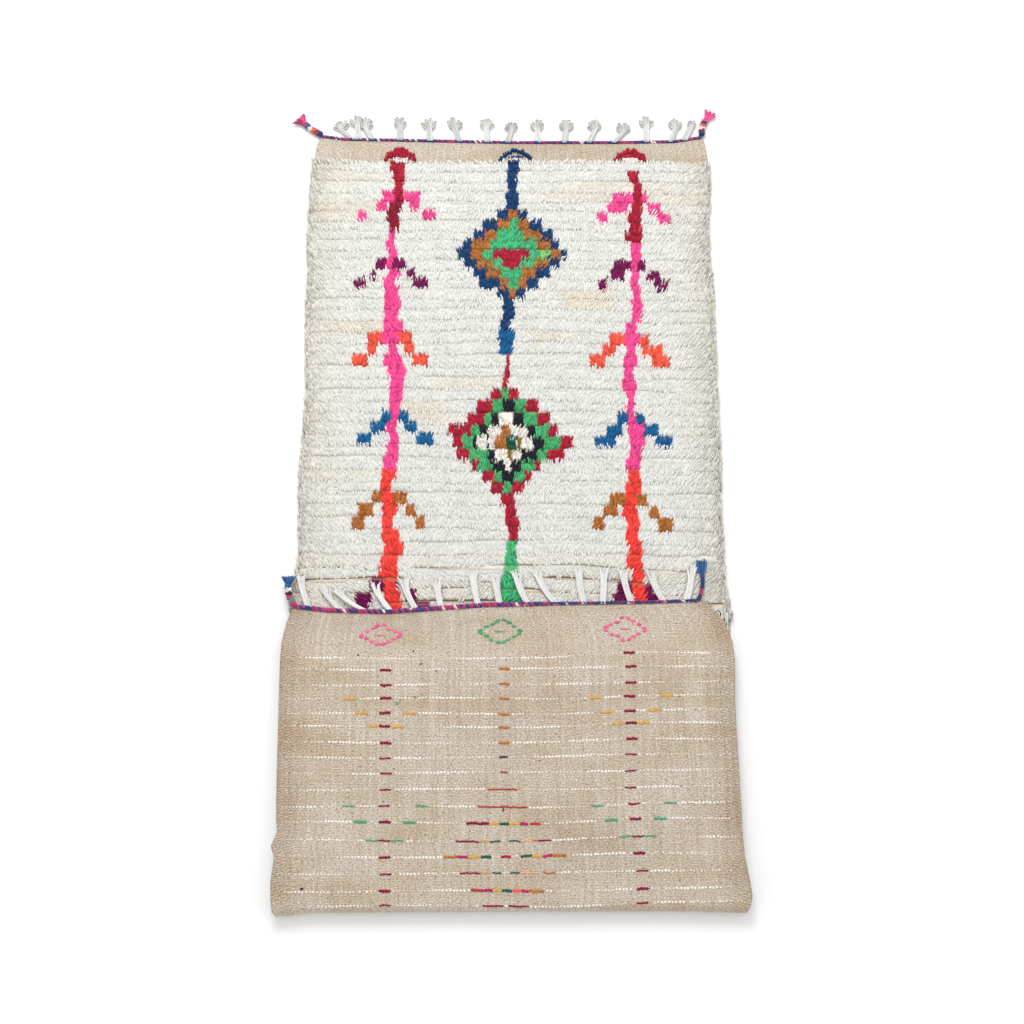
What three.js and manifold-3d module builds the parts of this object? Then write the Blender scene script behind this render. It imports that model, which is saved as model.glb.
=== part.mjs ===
// A narrow hand-knotted wool rug that lies pile side up. Its near part is folded up and back over
// itself, pile inwards, so that the flatwoven back shows on top there.
// Millimetres, +Z up. X runs across the rug and +Y along it, away from the fold. The origin is on
// the flat underside, on the rug's centre line.
import * as THREE from 'three';
import Module from 'manifold-3d';

const wasm = await Module();
wasm.setup();

// Driving dimensions of the cloth
const GROUND = 3.5; // thickness of the flatwoven ground cloth
const PRESSED_PILE = 9.5; // pile inside the fold, above the ground cloth
const SLOT = 2; // free space between the two pile faces inside the fold
const FAR_END = 808; // y of the far edge at the middle of the rug
const FOLD_FRONT = -723; // y of the front of the fold
const FLAP_END = -190; // y of the edge that is folded over
const FAR_BAND = 45; // flatwoven end without pile at the far edge
const FLAP_BAND = 92; // flatwoven end without pile on the flap
const BAND_EASE = 30; // how far the pile takes to reach its full height beyond that band
const FLAP_BAND_FLAT = 38; // the part of it that has sunk down onto the pile below

// Driving dimensions of the open pile
const CREST = 11.8; // tips of a row of knots, above the ground cloth
const SLOPE = 9.6; // half way along the strands of a row
const VALLEY = 6; // where the next row covers the roots
const LUMP = 0.7; // how far a tuft stands above or below its row
const FAR_PITCH = 25.2; // from row to row at the far end
const NEAR_PITCH = 23.8; // and near the flap
const ROW_WAVER = 2.4; // how far a row strays from a straight line
const EDGE_INSET = 3; // ground cloth inside the line that the tufts reach
const LOCK_REACH = 5; // how far the locks at the rim stand past that line

// Edge cord, tassels and corner braids
const CORD_WIDTH = 6;
const CORD_HEIGHT = 5;
const FIT = 0.3; // between two pieces that touch
const ON_PILE = GROUND + CREST + LUMP + FIT; // what lies on the pile is at this height

const FOLD_RADIUS = GROUND + PRESSED_PILE + SLOT / 2;
const FOLD_CENTRE = FOLD_FRONT + FOLD_RADIUS;
const FLOOR_RUN = FAR_END - FOLD_CENTRE;
const ARC_RUN = Math.PI * FOLD_RADIUS;
const FLAP_RUN = FLAP_END - FOLD_CENTRE;
const WHOLE_RUN = FLOOR_RUN + ARC_RUN + FLAP_RUN;

// Outlines, as uneven as the cloth is: where the left and the right rim lie at each y
const FLOOR_RIMS = [
  { y: 822, left: -391, right: 389 },
  { y: 790, left: -403, right: 397 },
  { y: 754, left: -404, right: 400 },
  { y: 668, left: -405, right: 397 },
  { y: 576, left: -407, right: 389 },
  { y: 485, left: -400, right: 393 },
  { y: 397, left: -408, right: 396 },
  { y: 310, left: -398, right: 394 },
  { y: 225, left: -392, right: 390 },
  { y: 142, left: -393, right: 391 },
  { y: 61, left: -398, right: 389 },
  { y: -19, left: -394, right: 385 },
  { y: -97, left: -388, right: 387 },
  { y: -174, left: -400, right: 386 },
  { y: -350, left: -396, right: 383 },
  { y: -600, left: -396, right: 384 },
  { y: -707, left: -398, right: 395 },
];
const FLAP_RIMS = [
  { y: -185, left: -391, right: 337 },
  { y: -194, left: -391, right: 349 },
  { y: -220, left: -400, right: 372 },
  { y: -257, left: -407, right: 386 },
  { y: -293, left: -409, right: 390 },
  { y: -366, left: -407, right: 387 },
  { y: -506, left: -404, right: 387 },
  { y: -574, left: -399, right: 388 },
  { y: -594, left: -396, right: 388 },
  { y: -617, left: -408, right: 389 },
  { y: -637, left: -400, right: 390 },
  { y: -674, left: -404, right: 396 },
  { y: -699, left: -402, right: 398 },
  { y: -718, left: -398, right: 392 },
  { y: -726, left: -390, right: 386 },
];
// How far each line across the rug strays from straight
const FAR_LINE = [
  { x: -395, stray: 14 },
  { x: -340, stray: 6 },
  { x: -200, stray: 3 },
  { x: 0, stray: -2 },
  { x: 200, stray: -2 },
  { x: 330, stray: 0 },
  { x: 395, stray: 12 },
];
const FOLD_LINE = [
  { x: -400, stray: -8 },
  { x: -375, stray: -7 },
  { x: -340, stray: -2 },
  { x: 0, stray: 0 },
  { x: 270, stray: 1 },
  { x: 395, stray: -2 },
];
const FLAP_LINE = [
  { x: -395, stray: -1 },
  { x: -330, stray: -9 },
  { x: -225, stray: -12 },
  { x: -130, stray: -5 },
  { x: -50, stray: 1 },
  { x: 90, stray: 4 },
  { x: 240, stray: 6 },
  { x: 340, stray: 10 },
];
// Low folds and hollows of the flap: a row for each, with the direction that it runs in
const FLAP_RIPPLES = [
  { x: -360, y: -640, turn: 40, long: 90, wide: 26, high: 2.2 },
  { x: -375, y: -520, turn: 65, long: 80, wide: 22, high: 1.6 },
  { x: -370, y: -330, turn: -70, long: 90, wide: 24, high: 1.7 },
  { x: 360, y: -660, turn: -45, long: 90, wide: 26, high: 2.1 },
  { x: 372, y: -540, turn: -60, long: 80, wide: 22, high: 1.6 },
  { x: 362, y: -330, turn: 70, long: 90, wide: 24, high: 1.6 },
  { x: 150, y: -620, turn: 15, long: 130, wide: 34, high: 1.4 },
  { x: -120, y: -420, turn: -10, long: 150, wide: 36, high: 1.2 },
];

// Rows of points over the flap's band, from its edge
const BAND_ROWS = [FLAP_BAND + BAND_EASE, 104, 88, 72, 56, FLAP_BAND_FLAT, 18, 0];

// Places across the sheet: 0 and 1 are the rims
const ACROSS = [0, 0.012, 0.06, 0.16, 0.28, 0.4, 0.5, 0.6, 0.72, 0.84, 0.94, 0.988, 1];

// Spacing of the rows of points where the sheet is plain, and steps round the fold
const UNDER_STEP = 48;
const INNER_STEP = 60;
const FLAP_STEP = 45;
const INNER_TURNS = 6;
const OUTER_TURNS = 10;
// How far in from each line its strays die away
const FAR_EASE = 50;
const FOLD_EASE = 80;
const FLAP_EASE = 60;
// Each row of the pile: where along the pitch its three lines of points lie, from tips to roots,
// and how far they stand out at the rims
const ROW_LINES = [
  { at: 0.1, open: CREST, lock: LOCK_REACH },
  { at: 0.5, open: SLOPE, lock: LOCK_REACH * 0.6 },
  { at: 0.93, open: VALLEY, lock: 1.2 },
];
const PRESSED_LOCK = 3; // how far the pile inside the fold stands out at the rims
const PRESS_EASE = 45; // the last stretch of open pile, which the flap's edge presses down

// A repeatable random number: a linear congruential generator
const RANDOM = { seed: 41, times: 1664525, plus: 1013904223, modulus: 2 ** 32 };
function random(low, high) {
  RANDOM.seed = (RANDOM.seed * RANDOM.times + RANDOM.plus) % RANDOM.modulus;
  return low + ((high - low) * RANDOM.seed) / RANDOM.modulus;
}

function smooth(from, to, at) {
  const t = Math.min(1, Math.max(0, (at - from) / (to - from)));
  return t * t * (3 - 2 * t);
}

// Reads a column of a table between its rows, whichever way the rows run
function between(table, by, column, at) {
  const rows = [...table].sort((a, b) => a[by] - b[by]);
  const next = rows.findIndex((row) => row[by] >= at);
  if (next === -1) return rows.at(-1)[column];
  if (next === 0) return rows[0][column];
  const [a, b] = [rows[next - 1], rows[next]];
  return THREE.MathUtils.mapLinear(at, a[by], b[by], a[column], b[column]);
}

// A closed surface that is sewn together from rows of points
class Skin {
  points = [];
  faces = [];

  add(point) {
    this.points.push(point);
    return this.points.length - 1;
  }

  // Sews two rows that run side by side. They may have different numbers of points: key says how
  // far along its row a point is.
  sew(a, b, key) {
    let i = 0;
    let j = 0;
    const far = (row, k) => (k < row.length ? this.points[row[k]][key] : Infinity);
    while (i < a.length - 1 || j < b.length - 1) {
      if (far(a, i + 1) <= far(b, j + 1)) {
        this.faces.push(a[i], a[i + 1], b[j]);
        i += 1;
      } else {
        this.faces.push(a[i], b[j + 1], b[j]);
        j += 1;
      }
    }
  }

  // Sews two closed rings with as many points each
  ring(a, b) {
    a.forEach((point, k) => {
      const next = (k + 1) % a.length;
      this.faces.push(point, a[next], b[next], point, b[next], b[k]);
    });
  }

  cap(ring) {
    for (let k = 1; k + 1 < ring.length; k += 1) this.faces.push(ring[0], ring[k], ring[k + 1]);
  }

  geometry() {
    const place = this.points.flatMap((p) => [p.x, p.y, p.z]);
    const shape = new THREE.BufferGeometry();
    shape.setAttribute('position', new THREE.Float32BufferAttribute(place, 3));
    shape.setIndex(this.faces);
    return shape;
  }

  solid() {
    return new wasm.Manifold(
      new wasm.Mesh({
        numProp: 3,
        vertProperties: new Float32Array(this.points.flatMap((p) => [p.x, p.y, p.z])),
        triVerts: new Uint32Array(this.faces),
      }),
    );
  }
}

// Where the back of the cloth is at a run along it from the far edge, and which way the pile points
function clothAt(run) {
  if (run <= FLOOR_RUN) return { y: FAR_END - run, z: 0, ny: 0, nz: 1 };
  const arc = run - FLOOR_RUN;
  if (arc < ARC_RUN) {
    const turn = arc / FOLD_RADIUS;
    const [ny, nz] = [Math.sin(turn), Math.cos(turn)];
    return { y: FOLD_CENTRE - FOLD_RADIUS * ny, z: FOLD_RADIUS * (1 - nz), ny, nz };
  }
  const z = 2 * FOLD_RADIUS - bandDrop(run);
  return { y: FOLD_CENTRE + arc - ARC_RUN, z, ny: 0, nz: -1 };
}

// The flap's band has no pile under it, so it sinks as its end comes near
function bandDrop(run) {
  const fromEnd = WHOLE_RUN - run;
  return PRESSED_PILE * (1 - smooth(FLAP_BAND_FLAT, FLAP_BAND + BAND_EASE, fromEnd));
}

function rimsAt(run, y) {
  const table = run < FLOOR_RUN ? FLOOR_RIMS : FLAP_RIMS;
  return [between(table, 'y', 'left', y), between(table, 'y', 'right', y)];
}

// How far a point across the sheet strays along it, near one of the three lines
function strayAt(run, x) {
  const far = between(FAR_LINE, 'x', 'stray', x) * (1 - smooth(0, FAR_EASE, run));
  const flap = between(FLAP_LINE, 'x', 'stray', x) * smooth(WHOLE_RUN - FLAP_EASE, WHOLE_RUN, run);
  const [into, out] = [FLOOR_RUN, FLOOR_RUN + ARC_RUN];
  const bent = smooth(into - FOLD_EASE, into, run) * (1 - smooth(out, out + FOLD_EASE, run));
  return far + flap + between(FOLD_LINE, 'x', 'stray', x) * bent;
}

function rippleAt(x, y) {
  return FLAP_RIPPLES.reduce((sum, ripple) => {
    const turn = THREE.MathUtils.degToRad(ripple.turn);
    const [dx, dy] = [x - ripple.x, y - ripple.y];
    const along = (dx * Math.cos(turn) + dy * Math.sin(turn)) / ripple.long;
    const over = (dy * Math.cos(turn) - dx * Math.sin(turn)) / ripple.wide;
    return sum + ripple.high * Math.exp(-along * along - over * over);
  }, 0);
}

// One row of points across the sheet. height is over the back of the cloth; lock is how far the
// pile stands out at the rims, or 0 where there is none; loose lets the row waver.
function sheetRow(skin, { run, height, lock = 0, loose = 0, lump = 0, across = ACROSS, ripple = 0 }) {
  const back = clothAt(run);
  const [left, right] = rimsAt(run, back.y);
  const [phase, bend] = [random(0, 6), random(0.6, 1.6)];
  return across.map((u, k) => {
    const rim = k === 0 || k === across.length - 1;
    const tooth = lock > 0 && (k === 1 || k === across.length - 2);
    const side = u < 0.5 ? -1 : 1;
    let x = THREE.MathUtils.lerp(left + EDGE_INSET, right - EDGE_INSET, u);
    let h = height;
    let stray = strayAt(run, x);
    if (lock > 0 && rim) h = Math.min(height, GROUND);
    if (tooth) {
      x = (side < 0 ? left : right) + side * (lock * random(0.3, 1) - 1);
      h = GROUND + (height - GROUND) * random(0.35, 0.7);
    }
    if (!rim && !tooth) h += random(-lump, lump);
    if (!rim) stray += loose * Math.sin(phase + bend * 6 * u) + (tooth ? random(0, 3) : 0);
    const z = back.z + back.nz * h + ripple * rippleAt(x, back.y);
    return skin.add({ x, y: back.y + back.ny * h + stray, z, u, run });
  });
}

// The pile side of the rug, from the far edge to the edge that is folded over
function pileRows(skin) {
  const rows = [];
  const lay = (row) => rows.push(sheetRow(skin, row));
  [0, FAR_BAND * 0.5, FAR_BAND - 4].forEach((run) => lay({ run, height: GROUND }));
  const last = FAR_END - FLAP_END - 12;
  let run = FAR_BAND - 1;
  while (run < last) {
    const done = run / last;
    const pitch = THREE.MathUtils.lerp(FAR_PITCH, NEAR_PITCH, done);
    const press = 1 - smooth(last - PRESS_EASE, last - 8, run);
    const tall = (open) => GROUND + THREE.MathUtils.lerp(PRESSED_PILE, open, press);
    const loose = ROW_WAVER * (1 + smooth(0.84, 0.95, done));
    const lump = LUMP * press;
    for (const { at, open, lock } of ROW_LINES) {
      lay({ run: run + pitch * at, height: tall(open), lock, loose, lump });
    }
    run += pitch;
  }
  const pressed = GROUND + PRESSED_PILE;
  for (run += NEAR_PITCH; run < FLOOR_RUN - INNER_STEP / 2; run += INNER_STEP) {
    lay({ run, height: pressed, lock: PRESSED_LOCK });
  }
  for (let k = 0; k <= INNER_TURNS; k += 1) {
    lay({ run: FLOOR_RUN + (ARC_RUN * k) / INNER_TURNS, height: pressed });
  }
  const flapStart = FLOOR_RUN + ARC_RUN;
  const pileEnd = WHOLE_RUN - FLAP_BAND - BAND_EASE;
  for (run = flapStart + FLAP_STEP; run < pileEnd - FLAP_STEP / 2; run += FLAP_STEP) {
    lay({ run, height: pressed, lock: PRESSED_LOCK });
  }
  for (const fromEnd of BAND_ROWS) {
    const at = WHOLE_RUN - fromEnd;
    lay({ run: at, height: pressed - bandDrop(at) });
  }
  return rows;
}

// The flatwoven side: the underside on the floor, the turn of the fold and the top of the flap
function backRows(skin) {
  const rows = [sheetRow(skin, { run: 0, height: 0 })];
  const bendStart = FLOOR_RUN - FOLD_EASE;
  for (let run = UNDER_STEP; run < bendStart - UNDER_STEP / 4; run += UNDER_STEP) {
    rows.push(sheetRow(skin, { run, height: 0, across: [0, 1] }));
  }
  for (let run = bendStart; run < FLOOR_RUN; run += FOLD_EASE / 2) {
    rows.push(sheetRow(skin, { run, height: 0 }));
  }
  for (let k = 0; k <= OUTER_TURNS; k += 1) {
    rows.push(sheetRow(skin, { run: FLOOR_RUN + (ARC_RUN * k) / OUTER_TURNS, height: 0 }));
  }
  const flapStart = FLOOR_RUN + ARC_RUN;
  const flatEnd = WHOLE_RUN - FLAP_BAND - BAND_EASE - NEAR_PITCH / 2;
  for (let run = flapStart + NEAR_PITCH; run < flatEnd; run += NEAR_PITCH) {
    const ripple = smooth(flapStart, flapStart + FOLD_EASE / 2, run);
    rows.push(sheetRow(skin, { run, height: 0, ripple }));
  }
  for (const fromEnd of BAND_ROWS) {
    rows.push(sheetRow(skin, { run: WHOLE_RUN - fromEnd, height: 0 }));
  }
  return rows;
}

function foldedRug() {
  const skin = new Skin();
  const pile = pileRows(skin);
  const back = backRows(skin);
  for (let k = 0; k + 1 < pile.length; k += 1) skin.sew(pile[k + 1], pile[k], 'u');
  for (let k = 0; k + 1 < back.length; k += 1) skin.sew(back[k], back[k + 1], 'u');
  const side = (rows, at) => rows.map((row) => row.at(at));
  skin.sew(side(back, 0), side(pile, 0), 'run');
  skin.sew(side(pile, -1), side(back, -1), 'run');
  skin.sew(pile[0], back[0], 'u');
  skin.sew(back.at(-1), pile.at(-1), 'u');
  const line = (row) => row.map((k) => ({ x: skin.points[k].x, y: skin.points[k].y }));
  return { geometry: skin.geometry(), far: line(pile[0]), flap: line(pile.at(-1)) };
}

// A strand of yarn with three sides, flat on what it lies on. steps are its points from root to
// tip, in the plane, and widths how wide it is there.
function strand(steps, { widths, height, floor }) {
  const skin = new Skin();
  const rings = steps.map((step, k) => {
    const from = steps[Math.max(0, k - 1)];
    const to = steps[Math.min(steps.length - 1, k + 1)];
    const size = Math.hypot(to.x - from.x, to.y - from.y);
    const [sx, sy] = [-(to.y - from.y) / size, (to.x - from.x) / size];
    const half = widths[k] / 2;
    return [
      skin.add({ x: step.x - sx * half, y: step.y - sy * half, z: floor }),
      skin.add({ x: step.x + sx * half, y: step.y + sy * half, z: floor }),
      skin.add({ x: step.x, y: step.y, z: floor + height }),
    ];
  });
  for (let k = 0; k + 1 < rings.length; k += 1) skin.ring(rings[k], rings[k + 1]);
  skin.cap([...rings[0]].reverse());
  skin.cap(rings.at(-1));
  return skin.solid();
}

// The edge cord, with four sides, a fit's width outside the edge of the cloth
function edgeCord(edge, { from, to, z, count }) {
  const skin = new Skin();
  const rings = [];
  for (let k = 0; k <= count; k += 1) {
    const x = THREE.MathUtils.lerp(from, to, k / count);
    const y = between(edge, 'x', 'y', x) + FIT;
    const plump = k % 2 === 0 ? 0.6 : -0.6;
    rings.push(
      [
        { x, y, z },
        { x, y: y + CORD_WIDTH + plump, z },
        { x, y: y + CORD_WIDTH - 1 + plump, z: z + CORD_HEIGHT },
        { x, y: y + 0.8, z: z + CORD_HEIGHT + plump / 2 },
      ].map((point) => skin.add(point)),
    );
  }
  for (let k = 0; k + 1 < rings.length; k += 1) skin.ring(rings[k], rings[k + 1]);
  skin.cap([...rings[0]].reverse());
  skin.cap(rings.at(-1));
  return skin.solid();
}

function joined(solids) {
  const whole = solids.reduce((sum, solid) => sum.add(solid));
  const { numProp, vertProperties, triVerts } = whole.getMesh();
  const place = new Float32Array((vertProperties.length / numProp) * 3);
  for (let k = 0; k < place.length / 3; k += 1) {
    place.set(vertProperties.subarray(k * numProp, k * numProp + 3), k * 3);
  }
  const shape = new THREE.BufferGeometry();
  shape.setAttribute('position', new THREE.BufferAttribute(place, 3));
  shape.setIndex(new THREE.BufferAttribute(Uint32Array.from(triVerts), 1));
  return shape;
}

// Tassels of warp loops at the far end: where each leaves the cord, how far its head leans to the
// side, how long it is and how wide its head spreads
const FAR_TASSELS = [
  { x: -336, lean: -20, long: 46, head: 24 },
  { x: -314, lean: 2, long: 53, head: 26 },
  { x: -290, lean: 12, long: 49, head: 26 },
  { x: -228, lean: 0, long: 54, head: 27 },
  { x: -167, lean: 0, long: 53, head: 31 },
  { x: -112, lean: -6, long: 56, head: 30 },
  { x: -53, lean: 0, long: 55, head: 27 },
  { x: 4, lean: 0, long: 53, head: 26 },
  { x: 53, lean: 0, long: 54, head: 26 },
  { x: 106, lean: 2, long: 55, head: 33 },
  { x: 155, lean: 10, long: 53, head: 28 },
  { x: 205, lean: 20, long: 48, head: 28 },
  { x: 275, lean: 0, long: 60, head: 28 },
  { x: 321, lean: 9, long: 54, head: 26 },
  { x: 360, lean: 15, long: 50, head: 20 },
];
const FAR_STRANDS = 3; // in each tassel
const FAR_STRAND = { widths: [3.6, 3.8, 7.4, 4.4], height: 4.6, floor: 0 };
const FAR_ROOTS = 8.6; // how wide the roots of a tassel stand

// Loose tassels on the flap's edge: root, how far the tip lies to the side and how far it reaches
const FLAP_TASSELS = [
  { x: -362, side: -10, reach: 40, spread: 9 },
  { x: -304, side: -34, reach: 50, spread: 10 },
  { x: -257, side: -58, reach: 46, spread: 20 },
  { x: -214, side: -33, reach: 60, spread: 12 },
  { x: -170, side: -25, reach: 64, spread: 12 },
  { x: -126, side: -9, reach: 54, spread: 8 },
  { x: -60, side: -11, reach: 72, spread: 12 },
  { x: -21, side: -9, reach: 62, spread: 10 },
  { x: 30, side: -23, reach: 68, spread: 12 },
  { x: 80, side: -37, reach: 74, spread: 12 },
  { x: 128, side: -9, reach: 76, spread: 11 },
  { x: 162, side: 4, reach: 74, spread: 9 },
  { x: 214, side: -14, reach: 68, spread: 10 },
  { x: 273, side: -23, reach: 66, spread: 13 },
  { x: 318, side: 1, reach: 80, spread: 8 },
];
const FLAP_STRANDS = 3; // in each tassel
const FLAP_STRAND = { widths: [2.9, 3.2, 3.6, 2.6], height: 3.4, floor: ON_PILE };
const FLAP_ROOTS = 6.8; // how wide the roots of a tassel stand

function farTassel(edge, { x, lean, long, head }) {
  const root = between(edge, 'x', 'y', x) + FIT + CORD_WIDTH / 2;
  return Array.from({ length: FAR_STRANDS }, (_, k) => {
    const out = k / (FAR_STRANDS - 1) - 0.5;
    return strand(
      [
        { x: x + out * FAR_ROOTS, y: root },
        { x: x + lean * 0.25 + out * FAR_ROOTS, y: root + long * 0.4 },
        { x: x + lean * 0.7 + out * head * 0.9, y: root + long * (0.75 - 0.25 * Math.abs(out)) },
        { x: x + lean + out * head * 0.62, y: root + long * (1 - 0.3 * Math.abs(out)) },
      ],
      FAR_STRAND,
    );
  });
}

function flapTassel(edge, { x, side, reach, spread }) {
  const root = between(edge, 'x', 'y', x) + FIT + CORD_WIDTH / 2;
  return Array.from({ length: FLAP_STRANDS }, (_, k) => {
    const out = k / (FLAP_STRANDS - 1) - 0.5;
    return strand(
      [0, 0.35, 0.7, 1].map((share) => ({
        x: x + side * share ** 1.5 + out * (FLAP_ROOTS + spread * share ** 2),
        y: root + reach * share * (1 - 0.12 * Math.abs(out)),
      })),
      FLAP_STRAND,
    );
  });
}

function fringe(edge, { from, to, z, count, tassels, make }) {
  const cord = edgeCord(edge, { from, to, z, count });
  return joined([cord, ...tassels.flatMap((tassel) => make(edge, tassel))]);
}

// A braided corner end with a tuft. route runs in the plane from the corner; floor is the height
// of what it lies on; locks fan out at its tip.
const BRAID = { radius: 4.6, root: 2.8, sides: 6, swell: 0.13, plaits: 4.5, steps: 13 };
const LOCK = { widths: [4.4, 5, 3.4], height: 4.4, long: 22, count: 5 };

function braid(route, { floor, spread, tuft = LOCK.long }) {
  const curve = new THREE.CatmullRomCurve3(route.map(([x, y]) => new THREE.Vector3(x, y, 0)));
  const skin = new Skin();
  const rings = [];
  for (let k = 0; k <= BRAID.steps; k += 1) {
    const share = k / BRAID.steps;
    const at = curve.getPointAt(share);
    const ahead = curve.getTangentAt(share);
    const radius = THREE.MathUtils.lerp(BRAID.root, BRAID.radius, smooth(0, 0.3, share));
    const ring = [];
    for (let n = 0; n < BRAID.sides; n += 1) {
      const angle = (n * 2 * Math.PI) / BRAID.sides;
      const lobe = Math.sin(share * BRAID.plaits * 2 * Math.PI + (n % 3) * 2.1);
      const out = radius * (1 + BRAID.swell * lobe * smooth(0, 0.15, share));
      const low = Math.sin(angle) < -0.1;
      const z = low ? floor : floor + radius * 0.87 + out * Math.sin(angle);
      const wide = out * Math.cos(angle);
      ring.push(skin.add({ x: at.x - ahead.y * wide, y: at.y + ahead.x * wide, z }));
    }
    rings.push(ring);
  }
  for (let k = 0; k + 1 < rings.length; k += 1) skin.ring(rings[k], rings[k + 1]);
  skin.cap([...rings[0]].reverse());
  skin.cap(rings.at(-1));
  const tip = curve.getPointAt(1);
  const ahead = curve.getTangentAt(1);
  const locks = Array.from({ length: LOCK.count }, (_, k) => {
    const out = k / (LOCK.count - 1) - 0.5;
    const turn = out * spread;
    const [c, s] = [Math.cos(turn), Math.sin(turn)];
    const [dx, dy] = [ahead.x * c - ahead.y * s, ahead.x * s + ahead.y * c];
    const reach = tuft * (1 - 0.35 * Math.abs(out) * (k % 2));
    return strand(
      [-0.15, 0.45, 1].map((share) => ({
        x: tip.x + dx * reach * share - ahead.y * out * 3,
        y: tip.y + dy * reach * share + ahead.x * out * 3,
      })),
      { widths: LOCK.widths, height: LOCK.height, floor },
    );
  });
  return joined([skin.solid(), ...locks]);
}

const rug = foldedRug();
const [FAR_LEFT, FAR_RIGHT] = [-386, 384];
const [FLAP_LEFT, FLAP_RIGHT] = [-386, 332];

const wool = new THREE.MeshStandardMaterial({ color: 0xece9e0, roughness: 0.95, metalness: 0 });
const warp = new THREE.MeshStandardMaterial({ color: 0xdedbd2, roughness: 0.95, metalness: 0 });
const pinkTuft = new THREE.MeshStandardMaterial({ color: 0xc8406e, roughness: 0.9, metalness: 0 });
const blueTuft = new THREE.MeshStandardMaterial({ color: 0x28559c, roughness: 0.9, metalness: 0 });

const pieces = [
  { name: 'folded_rug', shape: rug.geometry, material: wool },
  {
    name: 'far_fringe',
    shape: fringe(rug.far, {
      from: FAR_LEFT,
      to: FAR_RIGHT,
      z: 0,
      count: 40,
      tassels: FAR_TASSELS,
      make: farTassel,
    }),
    material: warp,
  },
  {
    name: 'flap_fringe',
    shape: fringe(rug.flap, {
      from: FLAP_LEFT,
      to: FLAP_RIGHT,
      z: ON_PILE,
      count: 38,
      tassels: FLAP_TASSELS,
      make: flapTassel,
    }),
    material: warp,
  },
  {
    name: 'far_left_braid',
    shape: braid([[-387.5, 825.8], [-405, 836], [-428, 850]], { floor: 0, spread: 1.3 }),
    material: pinkTuft,
  },
  {
    name: 'far_right_braid',
    shape: braid([[386.9, 824.2], [392, 840], [396, 868]], { floor: 0, spread: 1.2 }),
    material: pinkTuft,
  },
  {
    name: 'flap_left_braid',
    shape: braid([[-388.5, -187.9], [-399, -178], [-400, -158]], { floor: ON_PILE, spread: 1.4 }),
    material: blueTuft,
  },
  {
    name: 'flap_right_braid',
    shape: braid([[337.5, -176], [342, -158], [346, -130]], {
      floor: ON_PILE,
      spread: 0.6,
      tuft: 34,
    }),
    material: blueTuft,
  },
];

const group = new THREE.Group();
for (const { name, shape, material } of pieces) {
  shape.computeVertexNormals();
  const mesh = new THREE.Mesh(shape, material);
  mesh.name = name;
  group.add(mesh);
}

export default group;
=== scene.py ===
# %% [markdown]
# A Moroccan pile runner, folded over at one end
#
# This lesson dresses a plain CAD model of a hand-knotted wool runner. The rug lies pile side up on
# the floor, and its near end is folded back over itself, so the flatwoven back shows too. The CAD
# model gives the true sizes, so every piece below is made in metres where the CAD says it lies.

# %% Load the CAD frame
import math

import bmesh
import bpy
import numpy as np
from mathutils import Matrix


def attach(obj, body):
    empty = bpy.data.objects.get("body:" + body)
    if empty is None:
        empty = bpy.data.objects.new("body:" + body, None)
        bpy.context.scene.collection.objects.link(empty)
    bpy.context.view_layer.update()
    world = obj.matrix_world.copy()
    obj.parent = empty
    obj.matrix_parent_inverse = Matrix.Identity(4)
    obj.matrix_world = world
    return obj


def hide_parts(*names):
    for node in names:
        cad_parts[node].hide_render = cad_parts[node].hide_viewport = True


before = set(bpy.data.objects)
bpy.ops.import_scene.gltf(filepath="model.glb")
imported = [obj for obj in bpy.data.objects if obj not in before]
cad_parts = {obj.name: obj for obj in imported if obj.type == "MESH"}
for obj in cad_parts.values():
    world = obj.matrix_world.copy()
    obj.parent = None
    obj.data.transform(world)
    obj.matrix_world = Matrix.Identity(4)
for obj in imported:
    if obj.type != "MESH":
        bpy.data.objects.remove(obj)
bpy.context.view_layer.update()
print("CAD parts:", sorted(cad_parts))

# %% [markdown]
# The camera comes first, because it decides what is seen. The photograph was taken from almost
# straight above, with a normal lens: the rug gets only a little narrower towards its far end. The
# camera aims at the frame's origin, which lies on the floor, from 68 degrees above the floor.

# %% Camera
VIEW_ANGLE = math.radians(68)
VIEW_DISTANCE = 2.928
LENS = 55.85
lens_data = bpy.data.cameras.new("photo_camera")
lens_data.lens = LENS
lens_data.sensor_width = 36
lens_data.clip_end = 30
camera = bpy.data.objects.new("photo_camera", lens_data)
camera.location = (0, -VIEW_DISTANCE * math.cos(VIEW_ANGLE), VIEW_DISTANCE * math.sin(VIEW_ANGLE))
camera.rotation_euler = (math.pi / 2 - VIEW_ANGLE, 0, 0)
bpy.context.scene.collection.objects.link(camera)
bpy.context.scene.camera = camera
print("camera stands at", [round(c, 2) for c in camera.location])

# %% [markdown]
# Wool is dyed in the hank, so each colour is one dye. A colour picked on a screen is not
# what a shader wants: Blender works with linear light, so each dye is turned from screen values
# into linear ones once, here.

# %% The dyes


def dye(red, green, blue):
    """Turns a screen colour, 0 to 255, into the linear light that Blender works with."""
    screen = np.array([red, green, blue]) / 255
    return np.where(screen <= 0.04045, screen / 12.92, ((screen + 0.055) / 1.055) ** 2.4)


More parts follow.
